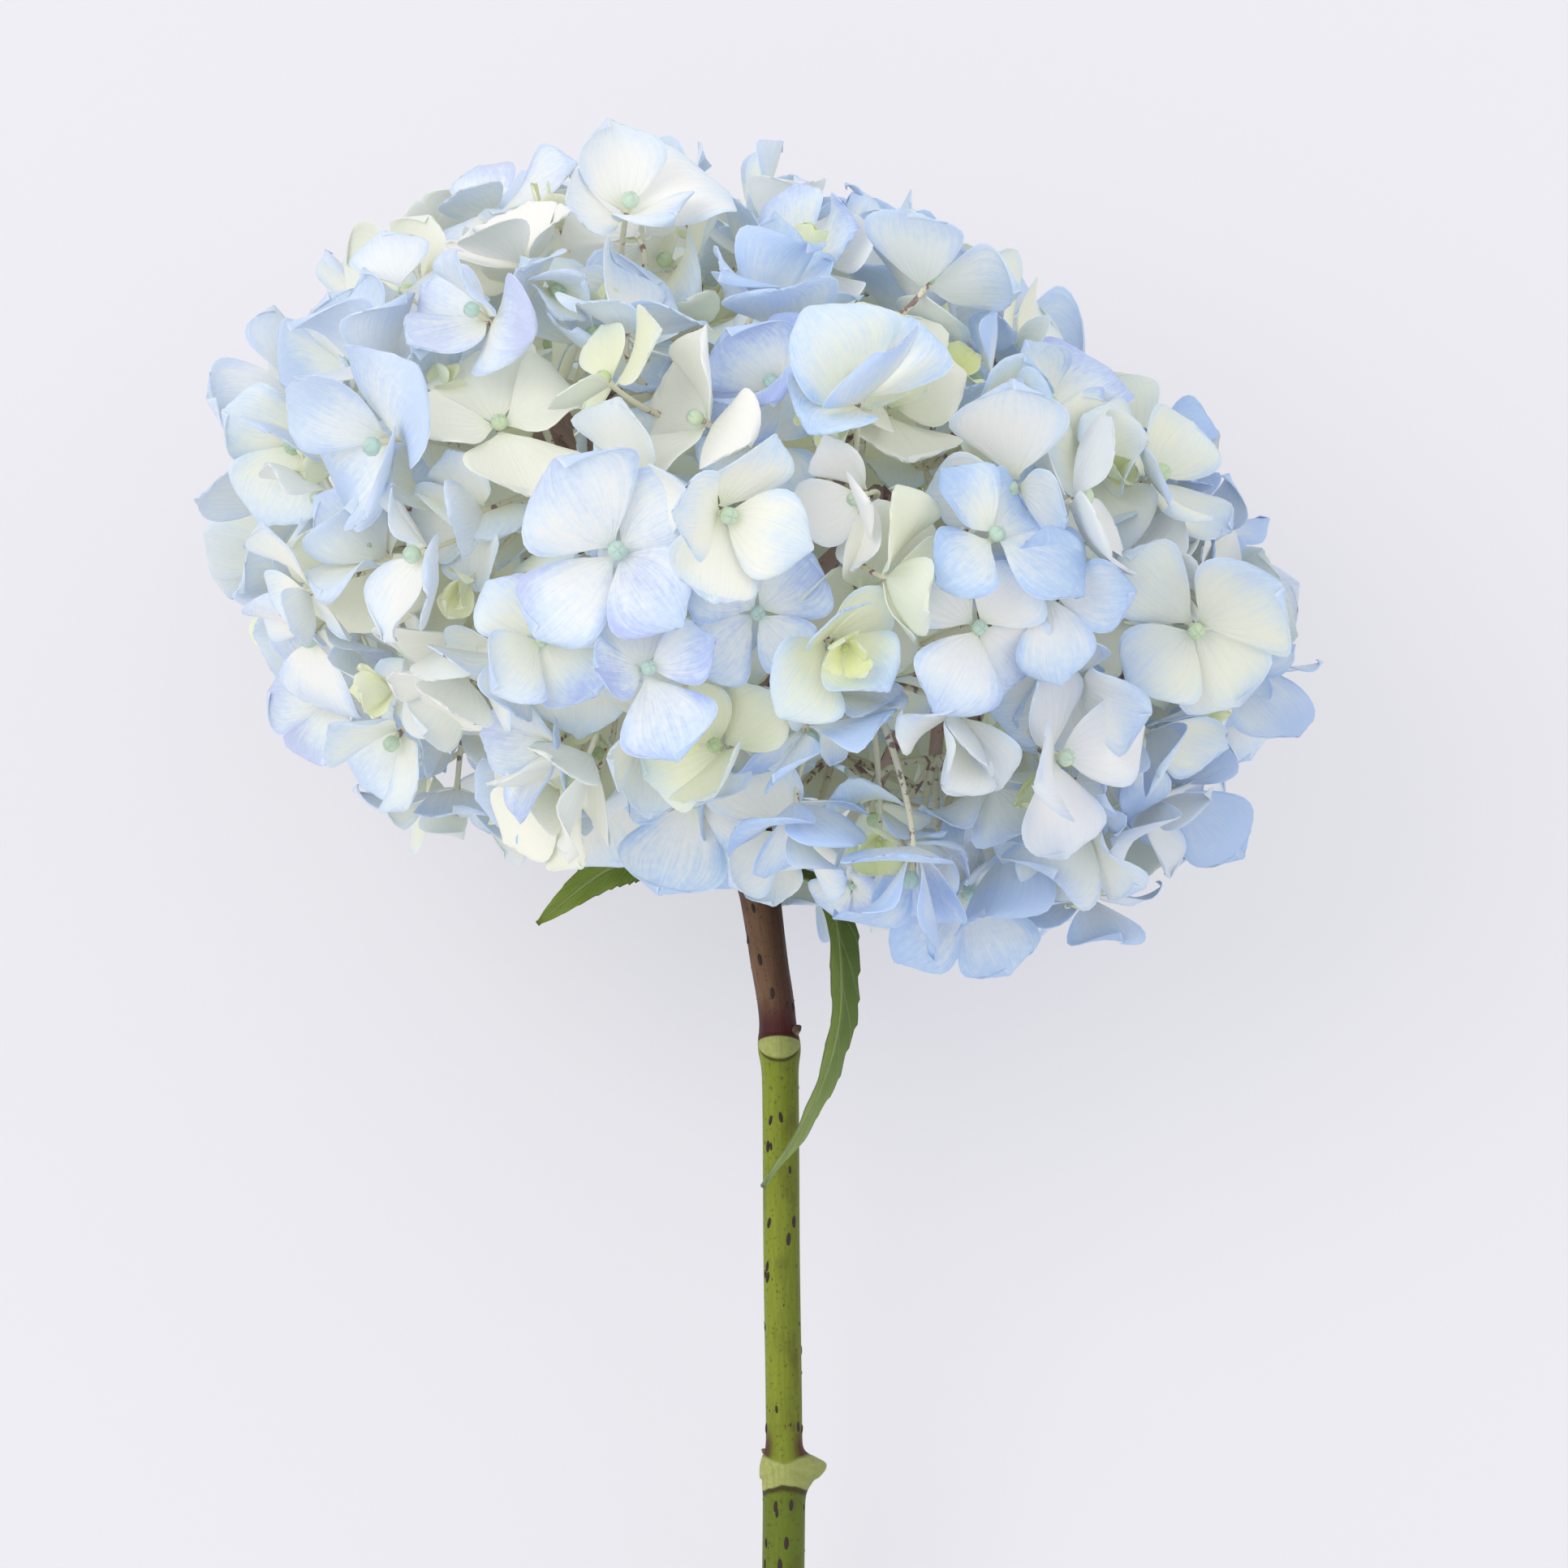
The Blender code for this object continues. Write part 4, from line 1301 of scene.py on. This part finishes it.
def make_leaf(name, node, line, half_width, taper, face_from, face_to, paint):
    """A folded blade along a curved midrib, with saw teeth down both edges."""
    points, blades = [], []
    for row in range(LEAF_ROWS + 1):
        share = row / LEAF_ROWS
        centre = curve_point(line, share)
        ahead, behind = min(share + 0.01, 1.0), max(share - 0.01, 0.0)
        along = (curve_point(line, ahead) - curve_point(line, behind)).normalized()
        facing = face_from.lerp(face_to, share)
        facing = (facing - along * facing.dot(along)).normalized()
        side = along.cross(facing)
        tooth = 0.13 * (((share * LEAF_TEETH) % 1.0) ** 1.5 - 0.5) * math.sin(math.pi * share)
        width = max(half_width * leaf_width(share, taper), 0.5 * MM)
        for across in np.linspace(-1.0, 1.0, LEAF_COLUMNS + 1):
            reach = width * across * (1.0 + tooth * abs(across) ** 4)
            ripple = 0.25 * MM * math.sin(share * 40.0) * abs(across) ** 2
            lift = abs(reach) * math.sin(LEAF_FOLD) + ripple
            point = centre + side * reach * math.cos(LEAF_FOLD) + facing * lift
            skin = LEAF_SKIN * (1.0 + 1.2 * math.exp(-((across / 0.12) ** 2)))
            skin *= 1.0 if abs(across) < 0.99 else 0.45
            for level in (0.5, -0.5):
                points.append(LAYING @ (point + facing * skin * level))
                blades.append((across, share, level + 0.5))
    faces = []
    step = 2 * (LEAF_COLUMNS + 1)
    for row in range(0, LEAF_ROWS * step, step):
        for here in range(row, row + 2 * LEAF_COLUMNS, 2):
            cell = [here, here + step, here + step + 2, here + 2]
            faces.append(cell)
            faces.append([index + 1 for index in reversed(cell)])
        for here in (row, row + 2 * LEAF_COLUMNS):
            faces.append([here, here + 1, here + step + 1, here + step])
    for row in (0, LEAF_ROWS * step):
        for here in range(row, row + 2 * LEAF_COLUMNS, 2):
            faces.append([here, here + 1, here + 3, here + 2])
    mesh = plain_mesh(name, points, faces, blade=blades)
    mesh.materials.append(paint)
    piece = set_out(name, mesh)
    turn_outwards(piece)
    seat(smooth(piece, 60.0), "leaf", node)


def make_leaves():
    make_leaf(
        "leaf_blade_left",
        "leaf_left",
        LEFT_LEAF,
        half_width=6.4 * MM,
        taper=0.40,
        face_from=Vector((0.2, 0.5, 1.0)),
        face_to=Vector((0.3, 0.2, 1.0)),
        paint=leaf_finish("left leaf", 0.25, (0.215, 0.300, 0.042)),
    )
    make_leaf(
        "leaf_blade_right",
        "leaf_right",
        RIGHT_LEAF,
        half_width=4.9 * MM,
        taper=0.60,
        face_from=Vector((0.7, 0.7, 0.6)),
        face_to=Vector((0.9, 0.1, 0.8)),
        paint=leaf_finish("right leaf", 0.8, (0.300, 0.390, 0.140)),
    )


# Table, light and camera ----------


def make_stage():
    """A pale table, part of whose paleness is a glow, so that shadows on it stay faint."""
    half = 3.0
    corners = [(-half, -half, 0.0), (half, -half, 0.0), (half, half, 0.0), (-half, half, 0.0)]
    finish = Finish(
        "table",
        Base_Color=(0.42, 0.417, 0.438, 1.0),
        Emission_Color=(0.98, 0.973, 1.03, 1.0),
        Emission_Strength=0.43,
        Roughness=0.9,
        Specular_IOR_Level=0.1,
    )
    mesh = plain_mesh("table", corners, [(0, 1, 2, 3)])
    mesh.materials.append(finish.material)
    floor = set_out("table", mesh)


def make_light(name, target, away, size, power, colour):
    """A round soft lamp, away from its target and turned to it."""
    lamp = bpy.data.lights.new(name, "AREA")
    lamp.shape = "DISK"
    lamp.size = size
    lamp.energy = power
    lamp.color = colour
    thing = set_out(name, lamp)
    thing.location = target + away
    thing.rotation_euler = (-away).to_track_quat("-Z", "Y").to_euler()


def make_lights():
    world = bpy.data.worlds.new("studio")
    world.use_nodes = True
    sky = world.node_tree.nodes["Background"].inputs
    sky["Color"].default_value = (0.985, 0.982, 1.0, 1.0)
    sky["Strength"].default_value = 0.86
    bpy.context.scene.world = world
    target = LAYING @ HEAD_CENTRE
    key, fill = Vector((-0.9, 0.15, 1.5)), Vector((1.3, 0.3, 1.2))
    make_light("key", target, key, size=1.2, power=7.4, colour=(1.0, 0.985, 0.96))
    make_light("fill", target, fill, size=1.6, power=2.5, colour=(0.93, 0.96, 1.0))
    bpy.context.scene.view_settings.view_transform = "Standard"


def make_camera():
    lens = bpy.data.cameras.new("camera")
    lens.sensor_width = SENSOR_WIDTH
    lens.lens = SENSOR_WIDTH * CAMERA_DISTANCE / FIELD_WIDTH
    camera = set_out("camera", lens)
    camera.matrix_world = (
        Matrix.Translation(LAYING @ FIELD_CENTRE + LAYING_TURN @ UP * CAMERA_DISTANCE)
        @ LAYING_TURN.to_matrix().to_4x4()
    )
    bpy.context.scene.camera = camera


make_camera()
make_stage()
make_lights()
make_stem()
make_buds()
make_lenticels()
make_leaves()
make_head()
